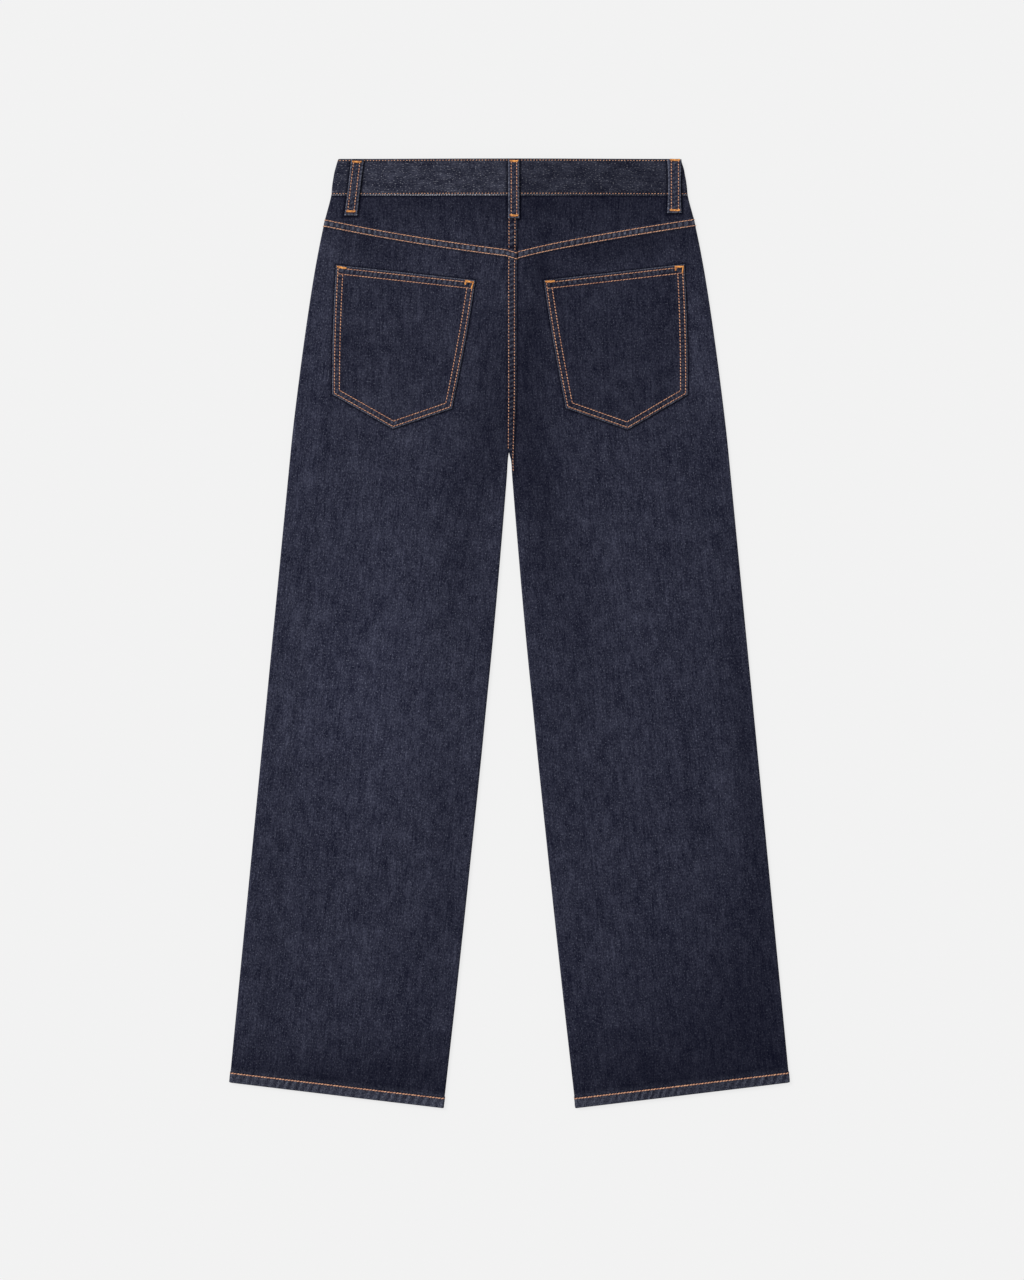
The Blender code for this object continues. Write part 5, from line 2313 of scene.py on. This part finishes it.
    def stitch(self, stitching: Stitching) -> None:
        """Sew the rows near both edges, all round.

        Args:
            stitching: Takes the stitches.
        """
        for row in (self.top_row, self.low_row):
            drop = np.array([[row]])
            x, z, out_x, out_z = self.path(drop)
            rise = self.rise(x, drop, out_z)
            line = place(x + out_x * rise, drop, z + out_z * rise)[0]
            up = np.stack((out_x, 0.0 * x, out_z), axis=-1)[0]
            front = out_z[0] < -0.5
            for part in (slice(0, self.front_steps), slice(self.front_steps, None)):
                stitching.row(line[part], BENEATH if front[part].mean() > 0.9 else BAND_ROW, up[part])


LOOP_TURN = 0.0011         # how far in the rounded folds of a belt loop reach
LOOP_SIDES = (0.0, 0.0001, 0.0003, 0.0006, 0.0010, 0.0014)
LOOP_ENDS = (0.0002, 0.0005, 0.0010)


@dataclass
class BeltLoop:
    """A belt loop on the back, sewn down at both ends over the waistband."""

    loop: BackLoop
    rows: int = 70
    wall: float = 0.0018
    foot: float = 0.008
    arch: float = 0.0010
    drop_top: float = 0.0004

    def floor(self, drop: Array) -> Array:
        """Height of the loop's underside: the highest cloth under its width, and its arch.

        Args:
            drop: Drops below the waist edge.

        Returns:
            Heights, one for each drop.
        """
        drop = np.asarray(drop).reshape(-1, 1)
        x = self.loop.middle(drop) + self.loop.half_width(drop) * np.linspace(-1.0, 1.0, 5)[None, :]
        near_band = fade(drop, BAND_HEIGHT + 0.001, BAND_HEIGHT + self.foot / 2 + 0.002)
        band = (band_back_height(x) + 0.0003) * near_band
        below = np.maximum(band, row_height(x, drop)).max(axis=1, keepdims=True)
        length = self.loop.drop_foot - self.drop_top
        share, foot = (drop - self.drop_top) / length, self.foot / length
        return below + 0.0002 + self.arch * hump(share, foot, 1.0 - 2.0 * foot)

    def row_distance(self, across: Array) -> Array:
        """Distance from the nearest of the two rows of stitches."""
        return np.abs(np.abs(across - self.loop.rows_aside) - self.loop.gauge / 2)

    def from_side(self, across: Array, drop: Array) -> Array:
        """Distance inwards from the nearest side."""
        return self.loop.half_width(drop) - np.abs(across)

    def pucker(self, across: Array, drop: Array) -> Array:
        """Puckers of the loop, from -1 to 1: an uneven wave that leans."""
        return uneven_wave(drop + 0.4 * across, 0.0052, self.loop.x_top * 40.0)

    def profile(self, across: Array, drop: Array) -> Array:
        """Thickness over the loop's width: rounded folds, a groove at both rows, small puckers.

        Args:
            across: Places across the loop, from its middle.
            drop: Drops below the waist edge.

        Returns:
            Thickness at each place.
        """
        groove = bell(self.row_distance(across), GROOVE)
        full = self.wall - 0.00026 * groove + 0.00010 * self.pucker(across, drop)
        return full * rounded(self.from_side(across, drop), LOOP_TURN)

    def build(self) -> Piece:
        """Make the loop as a strip whose ends are rounded like its sides.

        Returns:
            The piece.
        """
        foot, ends = self.loop.drop_foot, np.array(LOOP_ENDS)
        drop = np.linspace(self.drop_top, foot, self.rows)
        drop = np.unique(np.concatenate((drop, self.drop_top + ends, foot - ends)))[:, None]
        side = self.loop.width / 2 - np.array(LOOP_SIDES)
        inner = np.linspace(-side[-1] + 0.0006, side[-1] - 0.0006, 17)
        share = np.unique(np.concatenate((-side, inner, side)))[None, :] / (self.loop.width / 2)
        across = share * self.loop.half_width(drop)
        x, low = self.loop.middle(drop) + across, self.floor(drop)
        end_round = rounded(np.minimum(drop - self.drop_top, foot - drop), 0.0010)
        high = low + self.profile(across, drop) * (0.15 + 0.85 * end_round) + CLEAR
        # Paler folds and foot, partly worn dye and partly painted highlight, and painted highlight on the
        # pucker crests.
        crest = np.clip(self.pucker(across, drop), 0.0, 1.0)
        folds = bell(self.from_side(across, drop) - 0.0006, 0.0007)
        uneven = 0.5 + 0.5 * uneven_wave(drop + across, 0.0041, self.loop.width * 300.0)
        wear = (0.16 + 0.26 * uneven) * folds + 0.12 * crest + 0.44 * bell(foot - drop, 0.0011)
        cloth = on_cloth(x, drop, 0.0)
        outer = Skin(place(x, drop, high), cloth, wear, -0.10, FAR, self.row_distance(across))
        made = patch(f"cloth_{self.loop.name}", outer, place(x, drop, low), (COARSE, 5))
        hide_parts(self.loop.name)
        return made

    def stitch(self, stitching: Stitching, tacks: Stitching) -> None:
        """Sew the loop's two rows, and a bartack over each end.

        Args:
            stitching: Takes the stitches.
            tacks: Takes the bartacks.
        """
        drop = np.linspace(*self.loop.tacks, 60)[:, None]
        for side in (-1.0, 1.0):
            across = self.loop.rows_aside + side * self.loop.gauge / 2
            z = self.floor(drop) + self.profile(np.array([[across]]), drop)
            stitching.row(place(self.loop.middle(drop) + across, drop, z)[:, 0], DOTTED)
        for drop_at in self.loop.tacks:
            level = float(self.floor(np.array([drop_at]))[0, 0]) + self.wall
            x = float(self.loop.middle(drop_at)) + self.loop.rows_aside
            reach = self.loop.gauge / 2 + 0.0013
            start, end = (place(x + side * reach, drop_at - side * 0.0003, level) for side in (-1.0, 1.0))
            tacks.bar(start, end, 0.0027)


@dataclass
class FrontLoop:
    """A belt loop on the front, pressed flat between the band and the surface."""

    half: Half
    x: float = 0.090
    width: float = 0.013
    drop_foot: float = 0.060
    drop_top: float = 0.0004
    wall: float = 0.0018
    inset: float = 0.0032        # of its rows of stitches from its sides
    tack_at: float = 0.0036      # of its bartacks from its ends

    def build(self) -> Piece:
        """Make the loop face down: a strip with rounded folds on the side of the surface.

        Returns:
            The piece.
        """
        drop = np.linspace(self.drop_top, self.drop_foot, 45)[:, None]
        side = self.width / 2 - np.array(LOOP_SIDES[:-1])
        across = np.unique(np.concatenate((-side, np.linspace(-0.005, 0.005, 13), side)))[None, :]
        from_edge = self.width / 2 - np.abs(across)
        groove = bell(from_edge - self.inset, GROOVE)
        x = self.half.value * self.x + across + 0.0 * drop
        full = (self.wall - 0.0001 - 0.0002 * groove) * rounded(from_edge, LOOP_TURN)
        low = self.wall - full - CLEAR + 0.0 * drop
        # Paler folded edges, partly worn dye and partly painted highlight.
        wear = 0.1 * bell(from_edge, 0.0008)
        outer = Skin(place(x, drop, low), on_cloth(x, drop, 0.0), wear)
        name = f"cloth_belt_loop_front_{self.half.label}"
        made = patch(name, outer, place(x, drop, self.wall), (COARSE, 5))
        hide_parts(f"belt_loop_front_{self.half.label}")
        return made

    def stitch(self, stitching: Stitching, tacks: Stitching) -> None:
        """Sew its two rows and its two bartacks, on the underside.

        Args:
            stitching: Takes the stitches.
            tacks: Takes the bartacks.
        """
        ends = (self.tack_at, self.drop_foot - self.tack_at)
        level, middle = 0.0003, self.half.value * self.x
        for side in (-1.0, 1.0):
            x = middle + side * (self.width / 2 - self.inset)
            stitching.row(place(x, np.linspace(*ends, 40), level), BENEATH, DOWN)
        for at in ends:
            start, end = (place(middle + side * 0.0045, at, level + 0.0003) for side in (-1.0, 1.0))
            tacks.bar(start, end, 0.0019, DOWN)


# ------------------------------------------------------------------ back pockets


def inward(corners: Array) -> Array:
    """Direction inwards from each side of a convex polygon, the side after each corner.

    Args:
        corners: (n, 2) corners as x and drop.

    Returns:
        (n, 2) directions of length one.
    """
    sides = np.roll(corners, -1, axis=0) - corners
    normal = unit(np.stack((-sides[:, 1], sides[:, 0]), axis=-1))
    facing = np.sign(((corners.mean(axis=0) - corners) * normal).sum(axis=1))
    return normal * facing[:, None]


def side_distances(corners: Array, x: Array, drop: Array) -> Array:
    """Distance of points inwards from the line of each side of a convex polygon."""
    spots = np.stack(np.broadcast_arrays(x, drop), axis=-1)[..., None, :]
    return ((spots - corners) * inward(corners)).sum(-1)


def inset_corners(corners: Array, insets: Sequence[float]) -> Array:
    """Corners of a polygon whose sides are moved inwards, each by its own inset.

    Args:
        corners: (n, 2) corners as x and drop.
        insets: How far the side after each corner moves in.

    Returns:
        (n, 2) corners where the moved sides meet.
    """
    normal = inward(corners)
    level = (corners * normal).sum(axis=1) + np.asarray(insets)
    before = np.roll(np.arange(len(corners)), 1)
    systems = np.stack((normal[before], normal), axis=1)
    return np.linalg.solve(systems, np.stack((level[before], level), axis=1)[..., None])[..., 0]


POCKET_WIDTH = 0.145
POCKET_SIDES = (0.0, 0.0001, 0.0003, 0.0006, 0.0010, 0.0015, 0.0021)
POCKET_INSIDE = (0.019, 0.981)      # the shares of its width between which the grid is even
BOW_TOP, BOW_LENGTH = 0.125, 0.140  # the drops over which a pocket's sides bow
BOW_INNER, BOW_WIDTH = 0.045, 0.146
TOP_BAND = 0.0100                   # the cloth turned in along the pocket's top edge


@dataclass
class BackPocket:
    """A patch pocket on the back, with a straight top edge and a pointed base."""

    half: Half
    wall: float = 0.0014
    columns: int = 118
    rows: int = 116
    top_rows: tuple[float, float] = (0.0031, 0.0094)
    bows: tuple[float, float] = (0.0014, 0.0012)    # how far the inner and outer sides bow out

    def corners(self) -> Array:
        """Corners as x and drop: the ends of the top edge, the inner base, the tip, the outer base.

        Returns:
            (5, 2) corners.
        """
        cut = POCKETS[self.half]
        order = (cut.top_out, cut.top_in, cut.base_in, cut.tip, cut.base_out)
        return np.array([(self.half.value * corner.x, corner.drop) for corner in order])

    def bow(self, x: Array, drop: Array) -> Array:
        """How far a point moves because the pocket's sides bow outwards: a parabola down the
        pocket, whose size runs evenly from the inner side to the outer side.

        Args:
            x: Places across the garment.
            drop: Drops below the waist edge.

        Returns:
            How far x moves.
        """
        down = np.clip((drop - BOW_TOP) / BOW_LENGTH, 0.0, 1.0)
        across = np.clip((np.abs(x) - BOW_INNER) / BOW_WIDTH, 0.0, 1.0)
        inner, outer = self.bows
        return self.half.value * 4.0 * down * (1.0 - down) * (outer * across - inner * (1.0 - across))

    def outside(self, x: Array, drop: Array) -> Array:
        """Distance of points of the cloth outside the pocket."""
        return -self.from_edge(x - self.bow(x, drop), drop)

    def from_edge(self, x: Array, drop: Array) -> Array:
        """Distance inwards from the nearest side, with the sides taken as straight."""
        return side_distances(self.corners(), x, drop).min(axis=-1)

    def row_distance(self, x: Array, drop: Array) -> Array:
        """Distance inwards from the nearest row of stitches along the nearest side.

        Args:
            x: Places across the garment.
            drop: Drops below the waist edge.

        Returns:
            Distances, above 0 between the rows.
        """
        distances = side_distances(self.corners(), x, drop)
        beside_top = distances.argmin(axis=-1) == 0
        first = np.where(beside_top, self.top_rows[0], POCKET_EDGE)
        gauge = np.where(beside_top, self.top_rows[1] - self.top_rows[0], POCKET_GAUGE)
        return row_tent(distances.min(axis=-1), first, gauge)

    def thickness(self, x: Array, drop: Array) -> Array:
        """Height of the pocket's face over the leg, by the distance to its nearest side.

        Its edge is a rounded fold. The turned-in cloth makes a low ridge as wide as the two rows
        of stitches, which sink in, and puckers cross it. Inside, the pocket lies lower and soft.

        Args:
            x: Places across the garment.
            drop: Drops below the waist edge.

        Returns:
            Height at each place.
        """
        from_edge = self.from_edge(x, drop)
        turned_in = fade(from_edge, 0.0092, 0.0125)
        groove = bell(self.row_distance(x, drop), GROOVE)
        crown = hump(from_edge, POCKET_EDGE, POCKET_GAUGE)
        pucker = self.puckers(x, drop) * crown
        soft = 0.00018 * np.sin(x / 0.019 + 1.0) * np.sin(drop / 0.026)
        inside = self.wall - 0.00025 + soft * (1.0 - turned_in)
        high = inside + 0.00035 * turned_in + 0.00012 * crown - 0.00020 * groove + 0.00016 * pucker
        return high * rounded(from_edge, 0.0008)

    def puckers(self, x: Array, drop: Array) -> Array:
        """Puckers between the rows, from -1 to 1: an uneven wave whose crests cross the nearest
        side, flatter on its crests.

        Args:
            x: Places across the garment.
            drop: Drops below the waist edge.

        Returns:
            The puckers.
        """
        distances = side_distances(self.corners(), x, drop)
        nearest = distances.argmin(axis=-1)
        corners = self.corners()
        run = unit(np.roll(corners, -1, axis=0) - corners)
        spots = np.stack(np.broadcast_arrays(x, drop), axis=-1)
        along = (spots * run[nearest]).sum(axis=-1) + 0.25 * distances.min(axis=-1)
        wave = uneven_wave(along, 0.0056, 0.9 + nearest) + 0.4 * uneven_wave(along, 0.0033, 2.0)
        return np.tanh(1.2 * wave)

    def grid(self) -> tuple[Array, Array]:
        """The x and drop of the pocket's points.

        Columns and rows lie closer together at the sides. A point lies on the straight line from
        the top edge to the two-part base line.

        Returns:
            The x and the drop, each (rows, columns).
        """
        near = np.array(POCKET_SIDES) / POCKET_WIDTH
        across, down = (
            np.unique(np.concatenate((near, np.linspace(*POCKET_INSIDE, count), 1.0 - near)))
            for count in (self.columns, self.rows)
        )
        across, down = across[None, :], down[:, None]
        cut = POCKETS[self.half]
        places = (0.0, 0.5, 1.0)
        base_x = np.interp(across, places, (cut.base_in.x, cut.tip.x, cut.base_out.x))
        base_drop = np.interp(across, places, (cut.base_in.drop, cut.tip.drop, cut.base_out.drop))
        top_x = cut.top_in.x + (cut.top_out.x - cut.top_in.x) * across
        top_drop = cut.top_in.drop + (cut.top_out.drop - cut.top_in.drop) * across
        x = top_x + (base_x - top_x) * down
        return self.half.value * x, top_drop + (base_drop - top_drop) * down

    def build(self) -> Piece:
        """Make the pocket.

        Returns:
            The piece.
        """
        x, drop = self.grid()
        laid_x = x + self.bow(x, drop)
        low = back_height(laid_x, drop) + LIFT
        high = low + self.thickness(x, drop) + LIFT
        from_edge = self.from_edge(x, drop)
        beside_top = side_distances(self.corners(), x, drop)[..., 0] < TOP_BAND
        strength = np.where(beside_top, 1.0, 0.5)
        # A paler folded edge, partly worn dye and partly painted highlight; painted highlight on the pucker
        # crests and painted shade in their hollows, stronger beside the top.
        crown, wave = hump(from_edge, POCKET_EDGE, POCKET_GAUGE), self.puckers(x, drop)
        dashes = 0.5 + 0.5 * uneven_wave(x + drop, STITCH, 0.6)
        wear = (0.16 + 0.30 * dashes) * bell(from_edge - 0.0004, 0.0007)
        wear = wear + 0.26 * strength * crown * np.clip(wave, 0.0, 1.0)
        hollow_shade = 0.40 * strength * crown * np.clip(wave, -1.0, 0.0)
        shade = dye_and_painted_shading(x, drop) * 0.5 + POCKET_DYE_AND_SHADING[self.half] + hollow_shade
        cloth = on_cloth(x + 0.31, drop, 1.5 * self.half.value)
        outer = Skin(place(laid_x, drop, high), cloth, wear, shade, FAR, self.row_distance(x, drop))
        made = patch(f"cloth_back_pocket_{self.half.label}", outer, place(laid_x, drop, low), (6, 6))
        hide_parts(f"back_pocket_{self.half.label}")
        return made

    def on_face(self, ends: Array, spots: int = 90) -> Array:
        """Points of a straight line on the pocket's face, from one (x, drop) to another.

        Args:
            ends: (2, 2) ends of the line.
            spots: How many points to make.

        Returns:
            (spots, 3) points.
        """
        share = np.linspace(0.0, 1.0, spots)[:, None]
        line = ends[0] + (ends[1] - ends[0]) * share
        x, drop = line[:, 0], line[:, 1]
        laid_x = x + self.bow(x, drop)
        return place(laid_x, drop, back_height(laid_x, drop) + self.thickness(x, drop) + 0.0002)

    def stitch(self, stitching: Stitching, tacks: Stitching) -> None:
        """Sew two rows down the sides and round the base, two along the top, and the bartacks.

        Args:
            stitching: Takes the stitches.
            tacks: Takes the bartacks.
        """
        corners = self.corners()
        side_in, side_far = POCKET_EDGE, POCKET_EDGE + POCKET_GAUGE
        top_near, top_far = self.top_rows
        near = inset_corners(corners, (top_near,) + (side_in,) * 4)
        far = inset_corners(corners, (top_far,) + (side_far,) * 4)
        low = inset_corners(corners, (top_far,) + (side_in,) * 4)
        rim = inset_corners(corners, (top_near - 0.0010,) + (side_in,) * 4)
        looks = (DOTTED, POCKET_ROPE, POCKET_ROPE, DOTTED)
        for line in (near, far):
            for number, look in enumerate(looks, start=1):
                stitching.row(self.on_face(line[[number, (number + 1) % 5]]), look)
        for line in (near, low):
            stitching.row(self.on_face(line[:2]), POCKET_ROPE)
        order = (0, 1) if self.half is Half.LEFT else (1, 0)
        left, right = rim[list(order)]
        low_right = low[order[1]]
        run = unit(right - left)
        self.tack(tacks, left - run * 0.0008, left + run * 0.0088, 0.0025)
        self.tack(tacks, right - run * 0.0082, right + run * 0.0009, 0.0023)
        halfway = (low_right - run * 0.0074 + right - run * 0.0074) / 2
        self.tack(tacks, right - run * 0.0074, halfway, 0.0021)
        self.tack(tacks, right + run * 0.0002, low_right + run * 0.0001, 0.0015)

    def tack(self, tacks: Stitching, start: Array, end: Array, width: float) -> None:
        """Sew a bartack on the pocket's face from one (x, drop) to another."""
        line = self.on_face(np.array((start, end)), 3)
        tacks.bar(line[0] + (0.0, 0.0, 0.0002), line[2] + (0.0, 0.0, 0.0002), width)


# ------------------------------------------------------------------ fly and button


@dataclass
class FlyZip:
    """The closed zip behind the fly: its tape and one column of meshed teeth."""

    half_width: float = 0.014
    drops: tuple[float, float] = (BAND_HEIGHT + 0.002, 0.170)
    wall: float = 0.0010

    def build(self) -> Piece:
        """Make the tape, with a low ridge beside each edge.

        Returns:
            The piece.
        """
        drop = np.linspace(*self.drops, 61)[:, None]
        x = np.linspace(-self.half_width, self.half_width, 17)[None, :]
        low = front_height(x, drop) + CLOTH + SEAM_GAP / 2
        ridge = 0.0003 * bell(np.abs(x) - 0.0105, 0.0008)
        outer = Skin(place(x, drop, low + self.wall * 0.6 + ridge), on_cloth(x, drop, 0.0))
        made = patch("cloth_fly_zip", outer, place(x, drop, low), (COARSE, COARSE), ZIP_TAPE)
        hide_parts("fly_zip")
        return made

    def teeth(self) -> Piece:
        """Make the teeth: close bars across the tape, each as wide as the closed chain.

        Returns:
            The piece.
        """
        column = Stitching("zip_teeth", ZIP_METAL)
        drop = np.arange(self.drops[0] + 0.004, self.drops[1] - 0.006, 0.0024)
        centre = place(0.0, drop, front_height(0.0 * drop, drop) + CLOTH + 0.0010)
        along = np.broadcast_to((1.0, 0.0, 0.0), centre.shape)
        column.stitch(centre, along, np.broadcast_to(UP, centre.shape), TEETH, 0.0052)
        return column.build()


@dataclass
class Fly:
    """The stitching of the fly on the underside: two rows of a J and the centre front row."""

    x: float = 0.036
    drop_top: float = 0.042
    drop_turn: float = 0.150
    drop_end: float = 0.186
    x_end: float = 0.0012        # where the J ends beside the centre front
    x_front: float = 0.0013      # the first row down the centre front

    def stitch(self, stitching: Stitching) -> None:
        """Sew a straight run down that bends through a quarter ellipse into the centre front."""
        for inset in (0.0, ROW_GAUGE):
            straight = np.linspace(self.drop_top, self.drop_turn, 60)
            angle = np.linspace(0.0, math.pi / 2, 40)[1:]
            reach = self.x - inset
            bent_x = reach * np.cos(angle) + self.x_end * np.sin(angle)
            bent = self.drop_turn + (self.drop_end - inset - self.drop_turn) * np.sin(angle)
            x = np.concatenate((0.0 * straight + reach, bent_x))
            stitching.beneath(x, np.concatenate((straight, bent)))
        for x_at in (self.x_front, self.x_front + ROW_GAUGE):
            drop = np.linspace(self.drop_end + 0.002, CROTCH_DROP - 0.004, 80)
            stitching.beneath(0.0 * drop + x_at, drop)


# ------------------------------------------------------------------ studio


@dataclass(frozen=True)
class FloorFinish(Finish):
    """A floor that glows like a light table, so it takes little shadow."""

    colour: Colour
    glow: float

    def dress(self, graph: Graph, shader: bpy.types.Node) -> None:
        """Wire the floor to be clear from beneath.

        Args:
            graph: The material's nodes.
            shader: Its Principled shader.
        """
        graph.fill(shader, {"Base Color": rgba(self.colour), "Roughness": 1.0})
        graph.fill(shader, {"Specular IOR Level": 0.0, "Emission Strength": self.glow})
        graph.fill(shader, {"Emission Color": WHITE})
        behind = graph.node("NewGeometry").outputs["Backfacing"]
        clear = graph.node("BsdfTransparent").outputs[0]
        both = graph.node("MixShader", {0: behind, 1: shader.outputs[0], 2: clear}).outputs[0]
        graph.put(graph.tree.nodes["Material Output"].inputs["Surface"], both)


@dataclass(frozen=True)
class Studio:
    """A pale floor, soft light from the upper left and a camera straight above."""

    frame_height: float = 1.3970     # height of the view on the surface
    centre: tuple[float, float] = (0.0027, -0.0068)
    lens: float = 100.0
    sensor: float = 36.0
    floor_size: float = 40.0
    floor_drop: float = 0.0002
    floor: FloorFinish = FloorFinish("pale_floor", (0.10, 0.10, 0.10), 0.777)
    sky: float = 0.52
    backdrop: float = 0.86
    sun: float = 2.55
    sun_spread: float = 26.0
    sun_from: tuple[float, float, float] = (-0.60, 0.52, 0.86)

    def build(self) -> None:
        """Make the floor, the light and the camera."""
        self.make_floor()
        self.make_light()
        self.make_camera()
        scene = bpy.context.scene
        scene.view_settings.view_transform = "Standard"

    def make_floor(self) -> None:
        """Make the floor: a plain sheet that can't be seen from beneath."""
        half = self.floor_size / 2
        corners = np.array(((-half, -half), (half, -half), (half, half), (-half, half)))
        points = np.concatenate((corners, np.full((4, 1), -self.floor_drop)), axis=1)
        mesh = bpy.data.meshes.new("floor")
        mesh.from_pydata(points.tolist(), [], [(0, 1, 2, 3)])
        floor = bpy.data.objects.new("floor", mesh)
        bpy.context.scene.collection.objects.link(floor)
        mesh.materials.append(self.floor.material())

    def make_light(self) -> None:
        """Make an even sky, which the camera sees as pale as the floor, and a broad soft lamp."""
        world = bpy.data.worlds.new("studio")
        world.use_nodes = True
        graph = Graph(world.node_tree)
        background = world.node_tree.nodes["Background"]
        seen = graph.node("LightPath").outputs["Is Camera Ray"]
        strength = graph.line(seen, self.backdrop - self.sky, self.sky)
        graph.fill(background, {"Strength": strength, "Color": WHITE})
        bpy.context.scene.world = world
        lamp = bpy.data.lights.new("window_light", "SUN")
        lamp.energy = self.sun
        lamp.angle = math.radians(self.sun_spread)
        sun = bpy.data.objects.new("window_light", lamp)
        sun.rotation_euler = Vector(self.sun_from).to_track_quat("Z", "Y").to_euler()
        bpy.context.scene.collection.objects.link(sun)

    def make_camera(self) -> None:
        """Make the camera, straight above the middle of the view."""
        data = bpy.data.cameras.new("camera")
        data.lens = self.lens
        data.sensor_width = self.sensor
        data.clip_end = 100.0
        camera = bpy.data.objects.new("camera", data)
        camera.location = (*self.centre, self.frame_height * self.lens / self.sensor)
        bpy.context.scene.collection.objects.link(camera)
        bpy.context.scene.camera = camera


# ------------------------------------------------------------------ the garment


class Cut(NamedTuple):
    """A flat cut piece of cloth: its width and length in metres, and its area in square metres
    if it isn't a full rectangle."""

    width: float
    length: float
    area: float | None = None


@dataclass
class Jeans:
    """The whole garment."""

    def build(self) -> None:
        """Build every piece."""
        rows = ("seams", "hems", "waistband", "belt_loops", "pocket_left", "pocket_right", "front")
        topstitch = {name: Stitching(f"topstitch_{name}", TOPSTITCH) for name in rows}
        bars = ("belt_loops", "pockets", "front")
        tacks = {name: Stitching(f"bartacks_{name}", TACK_THREAD) for name in bars}
        seam = CentreBackSeam()
        seam.build()
        seam.stitch(topstitch["seams"])
        for half in Half:
            side = half.label
            leg, strip, pocket = BackLeg(half), YokeSeamStrip(half), BackPocket(half)
            leg.build()
            leg.stitch(topstitch["hems"])
            Yoke(half).build()
            strip.build()
            strip.stitch(topstitch["seams"])
            pocket.build()
            pocket.stitch(topstitch[f"pocket_{side}"], tacks["pockets"])
            front = FrontLeg(half)
            front.build()
            front.stitch(topstitch["front"])
            PocketFacing(half).build()
            front_loop = FrontLoop(half)
            front_loop.build()
            front_loop.stitch(topstitch["front"], tacks["front"])
        band = Waistband()
        band.build()
        band.stitch(topstitch["waistband"])
        for loop in BACK_LOOPS:
            belt_loop = BeltLoop(loop)
            belt_loop.build()
            belt_loop.stitch(topstitch["belt_loops"], tacks["belt_loops"])
        Fly().stitch(topstitch["front"])
        zip_piece = FlyZip()
        zip_piece.build()
        teeth = zip_piece.teeth()
        for row in (*topstitch.values(), *tacks.values()):
            row.build()
        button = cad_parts["waist_button"]
        button.data.materials.clear()
        button.data.materials.append(BRASS.material())


def main() -> None:
    """Build the studio and the jeans."""
    logging.basicConfig(level=logging.INFO, format="%(name)s: %(message)s")
    Studio().build()
    Jeans().build()


if __name__ == "__main__":
    main()
